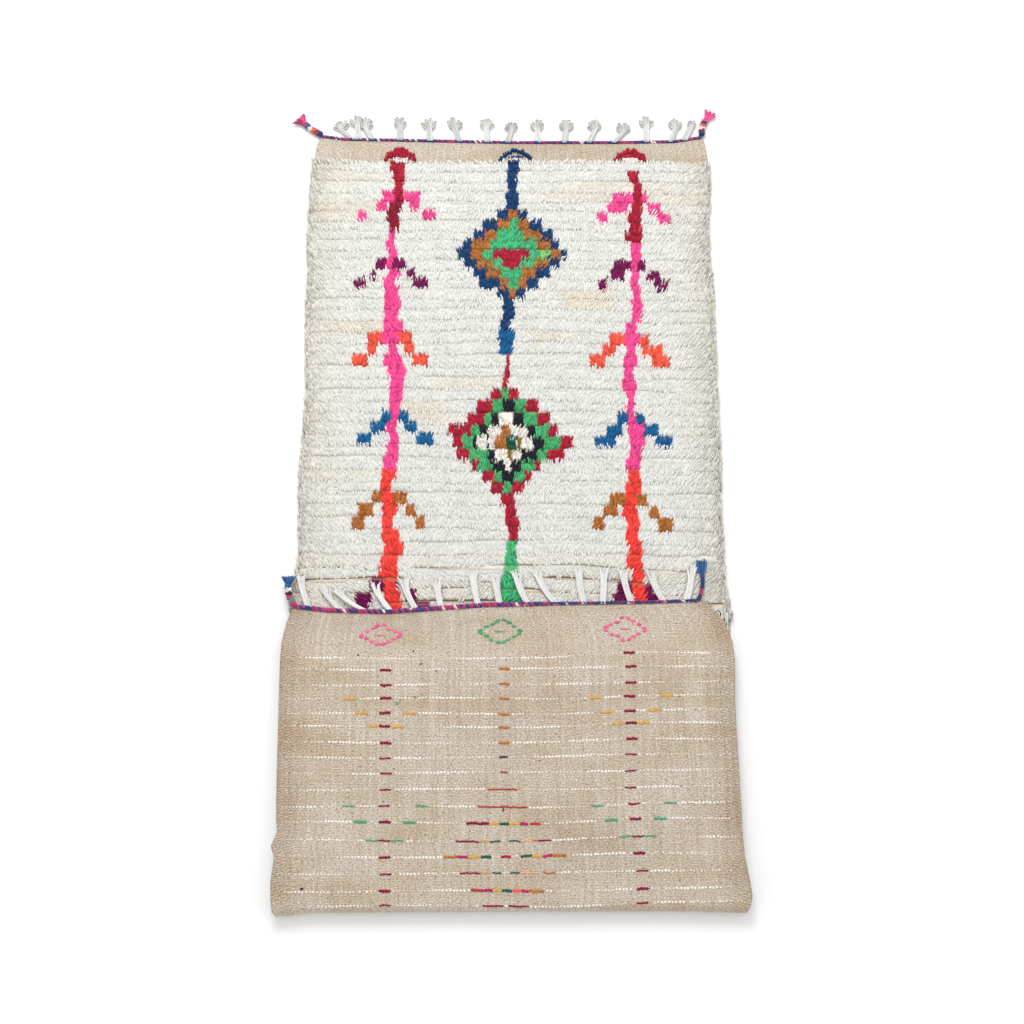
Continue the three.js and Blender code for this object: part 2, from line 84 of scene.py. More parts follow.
DYES = {
    "ivory": dye(235, 235, 230),
    "sand": dye(234, 222, 200),
    "pink": dye(255, 84, 160),
    "crimson": dye(186, 26, 58),
    "burgundy": dye(150, 18, 48),
    "plum": dye(126, 8, 86),
    "poppy": dye(255, 76, 66),
    "orange": dye(252, 100, 76),
    "blue": dye(10, 104, 160),
    "navy": dye(8, 66, 118),
    "tan": dye(190, 118, 56),
    "green": dye(78, 196, 134),
    "moss": dye(82, 186, 120),
    "deep_green": dye(24, 96, 78),
    "black": dye(26, 28, 42),
    "olive": dye(150, 120, 40),
    "amber": dye(218, 170, 88),
    "maroon": dye(140, 26, 62),
    "magenta": dye(186, 40, 102),
    "peach": dye(244, 180, 140),
    "grey_white": dye(255, 254, 250),
    "cream": dye(250, 246, 236),
    "rust": dye(178, 66, 50),
    "twine_pink": dye(204, 62, 122),
    "twine_blue": dye(44, 62, 134),
    "violet": dye(120, 50, 140),
    "rose": dye(236, 112, 152),
    "leaf": dye(92, 166, 122),
    "lime": dye(136, 214, 120),
}
print(len(DYES), "dyes")

# %% [markdown]
# The cloth's path is the same as in the CAD model. A place on it is given by its run, the length
# along the cloth from the far edge: along the floor, round the fold and back over the top. Each
# place also has a direction into the pile. All sizes here are in millimetres, as in the CAD.

# %% Where the cloth lies
MM = 0.001
GROUND = 3.5
PRESSED_PILE = 9.5
FAR_END = 808
FOLD_CENTRE = -709
FOLD_RADIUS = 14
FLOOR_RUN = FAR_END - FOLD_CENTRE
ARC_RUN = math.pi * FOLD_RADIUS
FLAP_END = -190
WHOLE_RUN = FLOOR_RUN + ARC_RUN + FLAP_END - FOLD_CENTRE
FLAP_BAND = 92
BAND_EASE = 30
FLAP_BAND_FLAT = 38
ON_PILE = 16.3


def smooth(start, end, at):
    """Goes gently from 0 at the start to 1 at the end."""
    share = np.clip((at - start) / (end - start), 0, 1)
    return share * share * (3 - 2 * share)


def cloth_at(run):
    """Place of the cloth's back at each run, and the way into the pile: y, z, ny, nz."""
    run = np.asarray(run, float)
    turn = np.clip((run - FLOOR_RUN) / FOLD_RADIUS, 0, math.pi)
    beyond = np.maximum(run - FLOOR_RUN - ARC_RUN, 0)
    on_floor = np.minimum(run, FLOOR_RUN)
    sink = PRESSED_PILE * (1 - smooth(FLAP_BAND_FLAT, FLAP_BAND + BAND_EASE, WHOLE_RUN - run))
    y = FAR_END - on_floor - FOLD_RADIUS * np.sin(turn) + beyond
    z = FOLD_RADIUS * (1 - np.cos(turn)) - np.where(beyond > 0, sink, 0)
    return y, z, np.sin(turn), np.cos(turn)


print("whole cloth", round(WHOLE_RUN), "mm from end to end")

# %% [markdown]
# A hand-woven rug has no straight edge. These short tables say where its rims lie and how far the
# far edge, the fold and the flap's edge stray from a straight line. They began as the CAD's values
# and were then eased by a few millimetres, until the outline agreed with the photograph's.

# %% Uneven rims and lines
# y of a place, then its left and right rim
FLOOR_RIMS = np.array([
    (-707, -398, 395), (-600, -396, 384), (-350, -396, 386), (-205, -402, 395), (-174, -400, 388),
    (-97, -388, 387), (-19, -394, 385), (61, -398, 389), (142, -393, 391), (225, -392, 390),
    (310, -397, 392), (397, -401, 394), (485, -400, 393), (576, -407, 389), (668, -405, 397),
    (754, -404, 400), (790, -400, 396), (822, -386, 387),
])
FLAP_RIMS = np.array([
    (-726, -394, 391), (-718, -401, 397), (-699, -404, 403), (-674, -406, 400), (-637, -402, 394),
    (-617, -409, 393), (-594, -399, 392), (-574, -402, 392), (-506, -405, 392), (-366, -409, 391),
    (-293, -411, 395), (-257, -411, 394), (-220, -405, 381), (-194, -396, 354), (-185, -393, 339),
])
# x of a place, then how far it strays along the rug
FAR_LINE = np.array([(-395, 14), (-340, 6), (-200, 3), (0, -2), (200, -2), (330, 0), (395, 12)])
FOLD_LINE = np.array([(-400, -8), (-375, -7), (-340, -2), (0, 0), (270, 1), (395, -2)])
FLAP_LINE = np.array([(-395, -1), (-330, -9), (-225, -12), (-130, -5), (-50, 1), (90, 4), (240, 6),
                      (340, 10)])
FAR_EASE = 50
FOLD_EASE = 80
FLAP_EASE = 60
EDGE_INSET = 3
# x, y, turn in degrees, length, width and height of each soft ripple of the flap
FLAP_RIPPLES = [
    (-360, -640, 40, 90, 26, 2.2), (-375, -520, 65, 80, 22, 1.6), (-370, -330, -70, 90, 24, 1.7),
    (360, -660, -45, 90, 26, 2.1), (372, -540, -60, 80, 22, 1.6), (362, -330, 70, 90, 24, 1.6),
    (150, -620, 15, 130, 34, 1.4), (-120, -420, -10, 150, 36, 1.2),
]


def rims_at(run, y):
    """Left and right rim of the cloth at a run."""
    low = [np.interp(y, FLOOR_RIMS[:, 0], FLOOR_RIMS[:, side]) for side in (1, 2)]
    high = [np.interp(y, FLAP_RIMS[:, 0], FLAP_RIMS[:, side]) for side in (1, 2)]
    return [np.where(run < FLOOR_RUN, a, b) for a, b in zip(low, high)]


def stray_at(run, x):
    """How far a place strays along the rug, near the far edge, the fold and the flap's edge."""
    far = np.interp(x, *FAR_LINE.T) * (1 - smooth(0, FAR_EASE, run))
    flap = np.interp(x, *FLAP_LINE.T) * smooth(WHOLE_RUN - FLAP_EASE, WHOLE_RUN, run)
    out = FLOOR_RUN + ARC_RUN
    bent = smooth(FLOOR_RUN - FOLD_EASE, FLOOR_RUN, run) * (1 - smooth(out, out + FOLD_EASE, run))
    return far + flap + np.interp(x, *FOLD_LINE.T) * bent


def ripple_at(x, y):
    """Height of the flap's soft ripples."""
    height = np.zeros(np.broadcast(x, y).shape)
    for centre_x, centre_y, turn, length, width, high in FLAP_RIPPLES:
        cos, sin = math.cos(math.radians(turn)), math.sin(math.radians(turn))
        along = ((x - centre_x) * cos + (y - centre_y) * sin) / length
        over = ((y - centre_y) * cos - (x - centre_x) * sin) / width
        height = height + high * np.exp(-along ** 2 - over ** 2)
    return height


print("rims are", len(FLOOR_RIMS), "and", len(FLAP_RIMS), "points long")

# %% [markdown]
# Materials. Wool is dull and a little fuzzy, so every wool shader has high roughness and some
# sheen, which lightens its grazing edges. The colour comes from an attribute named dye that each
# mesh carries, as a real yarn carries its dye with it; in the pile it also holds painted shade, at
# the roots, between the rows and at the rims. Fine noise drawn out along the yarn gives fibre
# streaks, and a slanted wave on the yarn's own map gives the twist of its two plies.

# %% Yarn material
YARN_MAP = "yarn"
MOTTLE = 0.12
STREAK_SIZE = (900, 90, 900)
PLY_PITCH = 1.6
PLY_DEEP = 0.0006
FIBRE_DEEP = 0.0005


def node(tree, kind, place, **settings):
    """Adds a shader node and sets its options."""
    made = tree.nodes.new(kind)
    made.location = place
    for name, value in settings.items():
        setattr(made, name, value)
    return made


def yarn_finish(name, twist, streak, sheen):
    """Wool yarn: its dye, mottled, with fibre streaks and the slanted turns of its plies."""
    finish = bpy.data.materials.new(name)
    finish.use_nodes = True
    tree = finish.node_tree
    shader = tree.nodes["Principled BSDF"]
    shader.inputs["Roughness"].default_value = 0.92
    shader.inputs["Specular IOR Level"].default_value = 0.25
    shader.inputs["Sheen Weight"].default_value = sheen
    shader.inputs["Sheen Roughness"].default_value = 0.5
    colour = node(tree, "ShaderNodeAttribute", (-900, 200), attribute_name="dye")
    place = node(tree, "ShaderNodeTexCoord", (-1300, -100))
    stretch = node(tree, "ShaderNodeMapping", (-1100, -100))
    stretch.inputs["Scale"].default_value = STREAK_SIZE
    fibre = node(tree, "ShaderNodeTexNoise", (-900, -100))
    fibre.inputs["Scale"].default_value = 1
    fibre.inputs["Detail"].default_value = 3
    tone = node(tree, "ShaderNodeMapRange", (-700, -100))
    tone.inputs["From Min"].default_value = 0.3
    tone.inputs["From Max"].default_value = 0.7
    tone.inputs["To Min"].default_value = 1 - MOTTLE
    tone.inputs["To Max"].default_value = 1 + MOTTLE * 0.6
    shade = node(tree, "ShaderNodeVectorMath", (-400, 150), operation="SCALE")
    own_map = node(tree, "ShaderNodeUVMap", (-1100, -400), uv_map=YARN_MAP)
    plies = node(tree, "ShaderNodeTexWave", (-900, -400), bands_direction="DIAGONAL")
    plies.inputs["Scale"].default_value = PLY_PITCH
    ply_bump = node(tree, "ShaderNodeBump", (-500, -400))
    ply_bump.inputs["Strength"].default_value = twist
    ply_bump.inputs["Distance"].default_value = PLY_DEEP
    fibre_bump = node(tree, "ShaderNodeBump", (-300, -300))
    fibre_bump.inputs["Strength"].default_value = streak
    fibre_bump.inputs["Distance"].default_value = FIBRE_DEEP
    link = tree.links.new
    link(place.outputs["Object"], stretch.inputs["Vector"])
    link(stretch.outputs["Vector"], fibre.inputs["Vector"])
    link(fibre.outputs["Fac"], tone.inputs["Value"])
    link(colour.outputs["Color"], shade.inputs[0])
    link(tone.outputs["Result"], shade.inputs["Scale"])
    link(shade.outputs["Vector"], shader.inputs["Base Color"])
    link(own_map.outputs["UV"], plies.inputs["Vector"])
    link(plies.outputs["Fac"], ply_bump.inputs["Height"])
    link(fibre.outputs["Fac"], fibre_bump.inputs["Height"])
    link(ply_bump.outputs["Normal"], fibre_bump.inputs["Normal"])
    link(fibre_bump.outputs["Normal"], shader.inputs["Normal"])
    return finish


pile_wool = yarn_finish("knotted_pile_wool", twist=0.3, streak=0.5, sheen=0.08)
twisted_yarn = yarn_finish("twisted_warp_yarn", twist=0.9, streak=0.4, sheen=0.3)
print("made", pile_wool.name, "and", twisted_yarn.name)

# %% [markdown]
# A rug holds thousands of yarn ends. Modelling each by hand, or as an object of its own, would be
# hopeless, so one straight tube is made with bmesh and cut into rings, as a pattern for all the
# others. Its map unrolls the side and leaves a thin strip at each end for the cap.

# %% One straight yarn
CAP_STRIP = 0.04


def straight_yarn(rings, sides):
    """One closed tube, a unit thick, with its rings a unit apart, as plain arrays."""
    shape = bmesh.new()
    bmesh.ops.create_cone(shape, cap_ends=True, segments=sides, radius1=1, radius2=1,
                          depth=rings - 1)
    bmesh.ops.translate(shape, verts=shape.verts, vec=(0, 0, (rings - 1) / 2))
    for level in range(1, rings - 1):
        everything = shape.verts[:] + shape.edges[:] + shape.faces[:]
        bmesh.ops.bisect_plane(shape, geom=everything, plane_co=(0, 0, level), plane_no=(0, 0, 1))
    shape.verts.index_update()
    places = np.array([v.co for v in shape.verts])
    corners, starts, flat_map = [], [], []
    for face in shape.faces:
        starts.append(len(corners))
        middle = face.calc_center_median()
        centre_angle = math.atan2(middle.y, middle.x)
        end_cap = abs(face.normal.z) > 0.5
        for loop in face.loops:
            corners.append(loop.vert.index)
            angle = math.atan2(loop.vert.co.y, loop.vert.co.x)
            if end_cap:
                cap_foot = (middle.z > 0.5) * (1 - CAP_STRIP)
                spot = (0.5 + CAP_STRIP / 2 * loop.vert.co.x, cap_foot + CAP_STRIP / 2)
            else:
                beside = (angle - centre_angle + math.pi) % (2 * math.pi) - math.pi
                around = (centre_angle + beside) / (2 * math.pi) + 0.5
                spot = (around, CAP_STRIP + (1 - 2 * CAP_STRIP) * loop.vert.co.z / (rings - 1))
            flat_map.append(spot)
    shape.free()
    return {"places": places, "corners": np.array(corners), "starts": np.array(starts),
            "map": np.array(flat_map), "rings": rings}


test_yarn = straight_yarn(5, 4)
print("a yarn of five rings has", len(test_yarn["starts"]), "faces")

# %% [markdown]
# Real yarn takes its shape from where it is pulled. Here a path is a row of points, and the
# straight yarn is bent along many paths at once with numpy. Each ring stands square to its path,
# and its side follows the side of the ring before, so a curved yarn doesn't twist by accident.

# %% Bend the yarn along paths


def unit(vectors):
    """Vectors of length one."""
    return vectors / np.maximum(np.linalg.norm(vectors, axis=-1, keepdims=True), 1e-9)


def bend(paths, thick, dyes, sides=4):
    """Bends one straight yarn along each path. paths is yarns x rings x 3, in millimetres."""
    yarn = straight_yarn(paths.shape[1], sides)
    ahead = unit(np.gradient(paths, axis=1))
    side = np.empty_like(paths)
    helper = np.where(np.abs(ahead[:, 0, 2:3]) > 0.7, (1.0, 0, 0), (0, 0, 1.0))
    side[:, 0] = unit(np.cross(helper, ahead[:, 0]))
    for ring in range(1, paths.shape[1]):
        along = np.sum(side[:, ring - 1] * ahead[:, ring], axis=1, keepdims=True)
        side[:, ring] = unit(side[:, ring - 1] - along * ahead[:, ring])
    over = np.cross(ahead, side)
    ring = np.rint(yarn["places"][:, 2]).astype(int)
    thick = np.broadcast_to(thick, paths.shape[:2])[:, ring, None]
    out = side[:, ring] * yarn["places"][:, 0, None] + over[:, ring] * yarn["places"][:, 1, None]
    dyes = np.broadcast_to(dyes, paths.shape)
    return {"yarn": yarn, "places": paths[:, ring] + out * thick, "dyes": dyes[:, ring]}


bent_test = bend(np.array([[(0, 0, 0), (0, 0, 10), (0, 5, 20)]], float), 1.0, DYES["ivory"])
print("a bent test yarn reaches", bent_test["places"].max(axis=(0, 1)).round(1), "mm")

# %% [markdown]
# A batch of yarns becomes one joined mesh, because thousands of objects would be slow to handle.
# Each yarn gets a small cell of its own in the map that the export bakes into, so no two yarns
# share a texel. The piece then hides the CAD part that it stands for.

# %% Join yarns into one piece
BAKE_MAP = "OFBake"
CELL_MARGIN = 0.06


def triangle_count(batch):
    """Triangles in a batch: each face of n corners is n - 2 of them."""
    yarn = batch["yarn"]
    return (len(yarn["corners"]) - 2 * len(yarn["starts"])) * len(batch["places"])


def add_piece(name, batches, finish, cad_node):
    """Joins batches of bent yarns into one mesh object that stands for a CAD node."""
    total = sum(len(b["places"]) for b in batches)
    cells = math.ceil(math.sqrt(total))
    places, dyes, corners, starts, bake, own = [], [], [], [], [], []
    vertex_count = corner_count = done = 0
    for batch in batches:
        yarn = batch["yarn"]
        count, size = batch["places"].shape[:2]
        index = np.arange(count)
        places.append(batch["places"].reshape(-1, 3) * MM)
        dyes.append(batch["dyes"].reshape(-1, 3))
        corners.append((yarn["corners"] + vertex_count + size * index[:, None]).ravel())
        corners_each = len(yarn["corners"])
        starts.append((yarn["starts"] + corner_count + corners_each * index[:, None]).ravel())
        cell = np.stack([(done + index) % cells, (done + index) // cells], axis=-1)
        spots = cell[:, None] + CELL_MARGIN + (1 - 2 * CELL_MARGIN) * yarn["map"]
        bake.append((spots / cells).reshape(-1, 2))
        own.append(np.tile(yarn["map"] * (2, yarn["rings"]), (count, 1)))
        vertex_count += count * size
        corner_count += count * corners_each
        done += count
    mesh = bpy.data.meshes.new(name)
    mesh.vertices.add(vertex_count)
    mesh.vertices.foreach_set("co", np.concatenate(places).ravel())
    mesh.loops.add(corner_count)
    mesh.loops.foreach_set("vertex_index", np.concatenate(corners))
    starts = np.concatenate(starts)
    mesh.polygons.add(len(starts))
    mesh.polygons.foreach_set("loop_start", starts)
    mesh.update(calc_edges=True)
    mesh.validate()
    mesh.polygons.foreach_set("use_smooth", np.ones(len(starts), bool))
    mesh.uv_layers.new(name=BAKE_MAP).data.foreach_set("uv", np.concatenate(bake).ravel())
    mesh.uv_layers.new(name=YARN_MAP).data.foreach_set("uv", np.concatenate(own).ravel())
    mesh.uv_layers[BAKE_MAP].active_render = True
    colours = mesh.attributes.new("dye", "FLOAT_COLOR", "POINT")
    opaque = np.ones((vertex_count, 4))
    opaque[:, :3] = np.concatenate(dyes)
    colours.data.foreach_set("color", opaque.ravel())
    mesh.materials.append(finish)
    piece = bpy.data.objects.new(name, mesh)
    bpy.context.scene.collection.objects.link(piece)
    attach(piece, "root")
    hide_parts(cad_node)
    triangles = sum(triangle_count(b) for b in batches)
    print(name, "has", done, "yarns and", triangles, "triangles")
    return piece


print("the bent test yarn has", triangle_count(bent_test), "triangles")

# %% [markdown]
# The ground cloth is what the weaver makes on the loom: one long flat weave that carries the
# knots. It is modelled as a grid that is laid along the cloth's path, then given its thickness
# with solidify, so its back, its pile side and its rims are one closed sheet. Columns are closer
# together near the rims, where the real selvedge puckers, and rows are closer on the flap.

# %% The ground cloth's grid
CLOTH_WIDE = 800
RIM_ZONE = 84
FAR_ZONE = 60
FOLD_ZONE = 80
FLAP_START = FLOOR_RUN + ARC_RUN
rim_steps = np.linspace(0, RIM_ZONE, 29)[:-1]
middle_steps = np.linspace(RIM_ZONE, CLOTH_WIDE - RIM_ZONE, 73)
ACROSS = np.concatenate([rim_steps, middle_steps, CLOTH_WIDE - rim_steps[::-1]]) / CLOTH_WIDE
RUNS = np.concatenate([
    np.linspace(0, FAR_ZONE, 16)[:-1],
    np.linspace(FAR_ZONE, FLOOR_RUN - FOLD_ZONE, 34)[:-1],
    np.linspace(FLOOR_RUN - FOLD_ZONE, FLOOR_RUN, 9)[:-1],
    np.linspace(FLOOR_RUN, FLAP_START, 15)[:-1],
    np.linspace(FLAP_START, WHOLE_RUN, 112),
])
print("grid lines:", len(ACROSS), "across and", len(RUNS), "along")

# %% [markdown]
# A weaver pulls each weft round the outermost warps, so the cloth puckers into fine ribs beside
# its rims. Years of feet and folding leave soft, darker stains. Both are worked out for each point
# of the grid: the ribs lift it a little, and an attribute on the grid darkens it, with the stains,
# with painted shade in the grooves between the ribs, and a little towards the flap's rims.

# %% Puckers, stains and painted shade
PUCKER_ZONE = 38
PUCKER_PITCH = 2.6
PUCKER_HIGH = 0.3
# How dark the painted shade in the grooves is, then how much darker the flap gets towards its rims, and
# within what distance of them
GROOVE_SHADE = 0.03
RIM_DARKENING = 0.07
RIM_DARK_ZONE = 34
# Faint stains on the flap: middle x and y, how far across and along, how dark
STAINS = [(140, -615, 95, 45, 0.09), (-10, -420, 24, 70, 0.06), (60, -370, 120, 30, 0.04)]


def selvedge_puckers(x, y, rim_gap):
    """Fine ribs beside the flap's rims, from -1 in a groove to 1 on a rib."""
    near = np.exp(-(rim_gap / PUCKER_ZONE) ** 2)
    slope = np.where(x < 0, 0.25 + 0.3 * np.sin(y / 140), 0.55 + 0.25 * np.sin(y / 90))
    wave = np.sin((y + slope * rim_gap) / PUCKER_PITCH + 1.2 * np.sin(y / 31 + x / 50))
    return near * wave * (0.65 + 0.35 * np.sin(y / 47 + x / 60))


def soil_and_shade_at(x, y, rim_gap, puckers, on_flap):
    """Brightness of the cloth: painted shade in the grooves, a little darker towards the flap's rims, and
    real stains.
    """
    soil_and_shade = 1 - GROOVE_SHADE * np.clip(-puckers, 0, 1)
    soil_and_shade = soil_and_shade - RIM_DARKENING * on_flap * np.exp(-(rim_gap / RIM_DARK_ZONE) ** 2)
    for spot_x, spot_y, wide, long, dark in STAINS:
        spot = np.exp(-((x - spot_x) / wide) ** 2 - ((y - spot_y) / long) ** 2)
        soil_and_shade = soil_and_shade - dark * on_flap * spot
    return soil_and_shade


print("puckers every", round(2 * math.pi * PUCKER_PITCH), "mm, and", len(STAINS), "stains")

# %% [markdown]
# The grid starts as one flat sheet from bmesh. Each of its points has a column and a row, which
# give a share of the width and a run along the cloth, and so its place on the folded path. The
# sheet's flat shape is kept as its own map, so a weave drawn on it bends with the cloth.

# %% Lay the cloth along its path
FLAP_SWELL = 40


def lay_cloth():
    """Lays the grid along the cloth's path."""
    sheet = bmesh.new()
    columns, rows = len(ACROSS) - 1, len(RUNS) - 1
    bmesh.ops.create_grid(sheet, x_segments=columns, y_segments=rows, size=1)
    places = np.array([v.co for v in sheet.verts])
    column = np.rint((places[:, 0] + 1) / 2 * columns).astype(int)
    row = np.rint((places[:, 1] + 1) / 2 * rows).astype(int)
    share, run = ACROSS[column], RUNS[row]
    y, z, ny, nz = cloth_at(run)
    left, right = rims_at(run, y)
    x = left + EDGE_INSET + (right - left - 2 * EDGE_INSET) * share
    y = y + stray_at(run, x)
    on_flap = smooth(FLAP_START, FLAP_START + FLAP_SWELL, run)
    calm = 1 - smooth(WHOLE_RUN - FLAP_EASE, WHOLE_RUN, run)
    rim_gap = np.minimum(share, 1 - share) * CLOTH_WIDE
    puckers = on_flap * selvedge_puckers(x, y, rim_gap)
    z = z + on_flap * calm * (ripple_at(x, y) + PUCKER_HIGH * puckers)
    soil_and_shade = soil_and_shade_at(x, y, rim_gap, puckers, on_flap)
    for vertex, place in zip(sheet.verts, np.stack([x, y, z], axis=1) * MM):
        vertex.co = place
    maps = sheet.loops.layers.uv.new("cloth")
    soil_and_shade_layer = sheet.verts.layers.float.new("soil_and_shade")
    for vertex, amount in zip(sheet.verts, soil_and_shade):
        vertex[soil_and_shade_layer] = amount
    sheet.verts.index_update()
    flat_places = np.stack([(share - 0.5) * (CLOTH_WIDE * MM), run * MM], axis=1)
    for face in sheet.faces:
        for loop in face.loops:
            loop[maps].uv = flat_places[loop.vert.index]
    return sheet


cloth_sheet = lay_cloth()
cloth_sheet.normal_update()
underside = min(cloth_sheet.faces, key=lambda f: f.calc_center_median().z)
print("grid of", len(cloth_sheet.faces), "faces; its underside faces", tuple(underside.normal))

# %% [markdown]
# A real cloth has two faces and a thin rim. Solidify gives the sheet its second face and closes
# the rim between them. The sheet is turned first so that it grows towards the pile side.

# %% Give the cloth its thickness
CLOTH_THICK = 3.0
if underside.normal.z > 0:
    bmesh.ops.reverse_faces(cloth_sheet, faces=cloth_sheet.faces)
outer_count = len(cloth_sheet.faces)
bmesh.ops.solidify(cloth_sheet, geom=cloth_sheet.faces[:], thickness=CLOTH_THICK * MM)
cloth_mesh = bpy.data.meshes.new("ground_cloth")
cloth_sheet.to_mesh(cloth_mesh)
cloth_low = min(v.co.z for v in cloth_sheet.verts)
cloth_high = max(v.co.z for v in cloth_sheet.verts)
print("closed cloth:", len(cloth_sheet.faces), "faces, z from", cloth_low, "to", cloth_high)
print("volume", round(cloth_sheet.calc_volume(signed=True) * 1000, 2), "litres")
cloth_sheet.free()

# %% [markdown]
# The map that the export bakes into needs the cloth's two sides apart: the back in the left half
# and the pile side in the right half. The rims are a thin line, so they share the back's edge.

# %% Bake map of the cloth
cloth_mesh.uv_layers.new(name=BAKE_MAP)
flat = np.zeros(len(cloth_mesh.loops) * 2)
cloth_mesh.uv_layers["cloth"].data.foreach_get("uv", flat)
flat = flat.reshape(-1, 2)
face_sizes = [len(polygon.vertices) for polygon in cloth_mesh.polygons]
face_of_corner = np.repeat(np.arange(len(face_sizes)), face_sizes)
inner = (face_of_corner >= outer_count)[:, None]
flat_wide = CLOTH_WIDE * MM
half = np.stack([(flat[:, 0] + flat_wide / 2) / flat_wide, flat[:, 1] / (WHOLE_RUN * MM)], axis=1)
baked = np.where(inner, (0.52, 0.01), (0.01, 0.01)) + half * (0.46, 0.98)
cloth_mesh.uv_layers[BAKE_MAP].data.foreach_set("uv", baked.ravel())
cloth_mesh.uv_layers[BAKE_MAP].active_render = True
print("bake map from", baked.min(), "to", baked.max())

# %% [markdown]
# The cloth's finish is a plain weave of undyed wool: warps run along the rug, wefts across it. Its
# patterns are drawn on the cloth's own map, which is in metres, so the scale of a noise says how
# many features there are to a metre. A few helpers keep the long list of nodes readable.

# %% Helpers for the cloth's shader


def noise(tree, cloth_map, place, scale, detail, rough):
    """A noise on the cloth's own map, in features for each metre across and along."""
    stretch = node(tree, "ShaderNodeMapping", (place[0] - 200, place[1]))
    stretch.inputs["Scale"].default_value = (*scale, 1)
    made = node(tree, "ShaderNodeTexNoise", place)
    made.inputs["Scale"].default_value = 1
    made.inputs["Detail"].default_value = detail
    made.inputs["Roughness"].default_value = rough
    tree.links.new(cloth_map, stretch.inputs["Vector"])
    tree.links.new(stretch.outputs["Vector"], made.inputs["Vector"])
    return made.outputs["Fac"]


def two_tones(tree, source, place, low, low_dye, high, high_dye):
    """Turns a grey pattern into a ramp from one colour to another."""
    ramp = node(tree, "ShaderNodeValToRGB", place)
    ramp.color_ramp.elements[0].position = low
    ramp.color_ramp.elements[0].color = (*low_dye, 1)
    ramp.color_ramp.elements[1].position = high
    ramp.color_ramp.elements[1].color = (*high_dye, 1)
    tree.links.new(source, ramp.inputs["Fac"])
    return ramp.outputs["Color"]


def times(tree, first, second, place):
    """Multiplies two colours."""
    mix = node(tree, "ShaderNodeMix", place, data_type="RGBA", blend_type="MULTIPLY")
    mix.inputs["Factor"].default_value = 1
    tree.links.new(first, mix.inputs[6])
    tree.links.new(second, mix.inputs[7])
    return mix.outputs[2]


def reckon(tree, operation, place, *values):
    """One Math node, fed with sockets or plain numbers."""
    made = node(tree, "ShaderNodeMath", place, operation=operation)
    for socket, value in zip(made.inputs, values):
        if isinstance(value, bpy.types.NodeSocket):
            tree.links.new(value, socket)
        else:
            socket.default_value = value
    return made.outputs["Value"]


print("four helpers for shader nodes")

# %% [markdown]
# Undyed wool is never one colour. Four noises are laid over each other: a fine grain of cream and
# tan, dark flecks, warps that differ from their neighbours, and wide patches that were washed less
# well. Each is a ramp between two tones, and multiplying them lets every layer show.

# %% Layers of the weave
WHITE = np.ones(3)
# Each layer: features for each metre across and along, detail and roughness of its noise, then the
# two stops of its ramp, each a place and a colour
GRAIN = ((300, 430), 4, 0.7, 0.37, dye(176, 158, 137), 0.64, dye(245, 238, 228))
FLECKS = ((210, 300), 2, 0.5, 0.27, dye(140, 118, 96), 0.36, WHITE)
WARP_STREAKS = ((150, 5), 3, 0.6, 0.35, dye(238, 232, 222), 0.65, WHITE)
PATCHES = ((5, 16), 5, 0.6, 0.3, dye(240, 229, 215), 0.56, WHITE)


def weave_layer(tree, cloth_map, layer, height):
    """One noise of the weave, and its two tones."""
    scale, detail, rough, *ramp = layer
    pattern = noise(tree, cloth_map, (-1200, height), scale, detail, rough)
    return pattern, two_tones(tree, pattern, (-900, height), *ramp)


print("grain of", GRAIN[0][1], "wefts to the metre")

# %% [markdown]
# Beside the flap's rims the cloth puckers into slanted ribs, finer than the grid can show. A wave
# on the map draws them: its bands run across the cloth, and adding a share of the distance from the
# middle slants them the same way on both sides. Two ramps keep them to the rims of the flap.

# %% Ribs beside the flap's rims
RIB_SLOPE = 0.3
RIB_SCALE = 62
# Distances from the cloth's middle, in metres, between which the ribs come in
RIB_ZONE = (0.335, 0.392)


def rim_ribs(tree, cloth_map):
    """Height of the ribs, and the depth of the grooves between them, which sets their painted shade."""
    parts = node(tree, "ShaderNodeSeparateXYZ", (-1700, -1200))
    tree.links.new(cloth_map, parts.inputs["Vector"])
    from_middle = reckon(tree, "ABSOLUTE", (-1500, -1200), parts.outputs["X"])
    slanted = reckon(tree, "MULTIPLY_ADD", (-1300, -1200), from_middle, RIB_SLOPE, parts.outputs["Y"])
    rib_place = node(tree, "ShaderNodeCombineXYZ", (-1100, -1200))
    tree.links.new(slanted, rib_place.inputs["Y"])
    tree.links.new(parts.outputs["X"], rib_place.inputs["X"])
    ribs = node(tree, "ShaderNodeTexWave", (-900, -1200), bands_direction="Y")
    ribs.inputs["Scale"].default_value = RIB_SCALE
    ribs.inputs["Distortion"].default_value = 4
    ribs.inputs["Detail"].default_value = 2
    ribs.inputs["Detail Scale"].default_value = 1.6
    tree.links.new(rib_place.outputs["Vector"], ribs.inputs["Vector"])
    near_rim = node(tree, "ShaderNodeMapRange", (-900, -1500), interpolation_type="SMOOTHSTEP")
    near_rim.inputs["From Min"].default_value = RIB_ZONE[0]
    near_rim.inputs["From Max"].default_value = RIB_ZONE[1]
    tree.links.new(from_middle, near_rim.inputs["Value"])
    on_flap = node(tree, "ShaderNodeMapRange", (-900, -1800))
    on_flap.inputs["From Min"].default_value = FLOOR_RUN * MM
    on_flap.inputs["From Max"].default_value = FLAP_START * MM
    tree.links.new(parts.outputs["Y"], on_flap.inputs["Value"])
    rim_zone = reckon(tree, "MULTIPLY", (-800, -1650), near_rim.outputs["Result"],
                      on_flap.outputs["Result"])
    rib_height = reckon(tree, "MULTIPLY", (-700, -1200), ribs.outputs["Fac"], rim_zone)
    groove = reckon(tree, "SUBTRACT", (-500, -1200), rim_zone, rib_height)
    return rib_height, groove


print("ribs within", round(1000 * (0.4 - RIB_ZONE[0])), "mm of the rims")

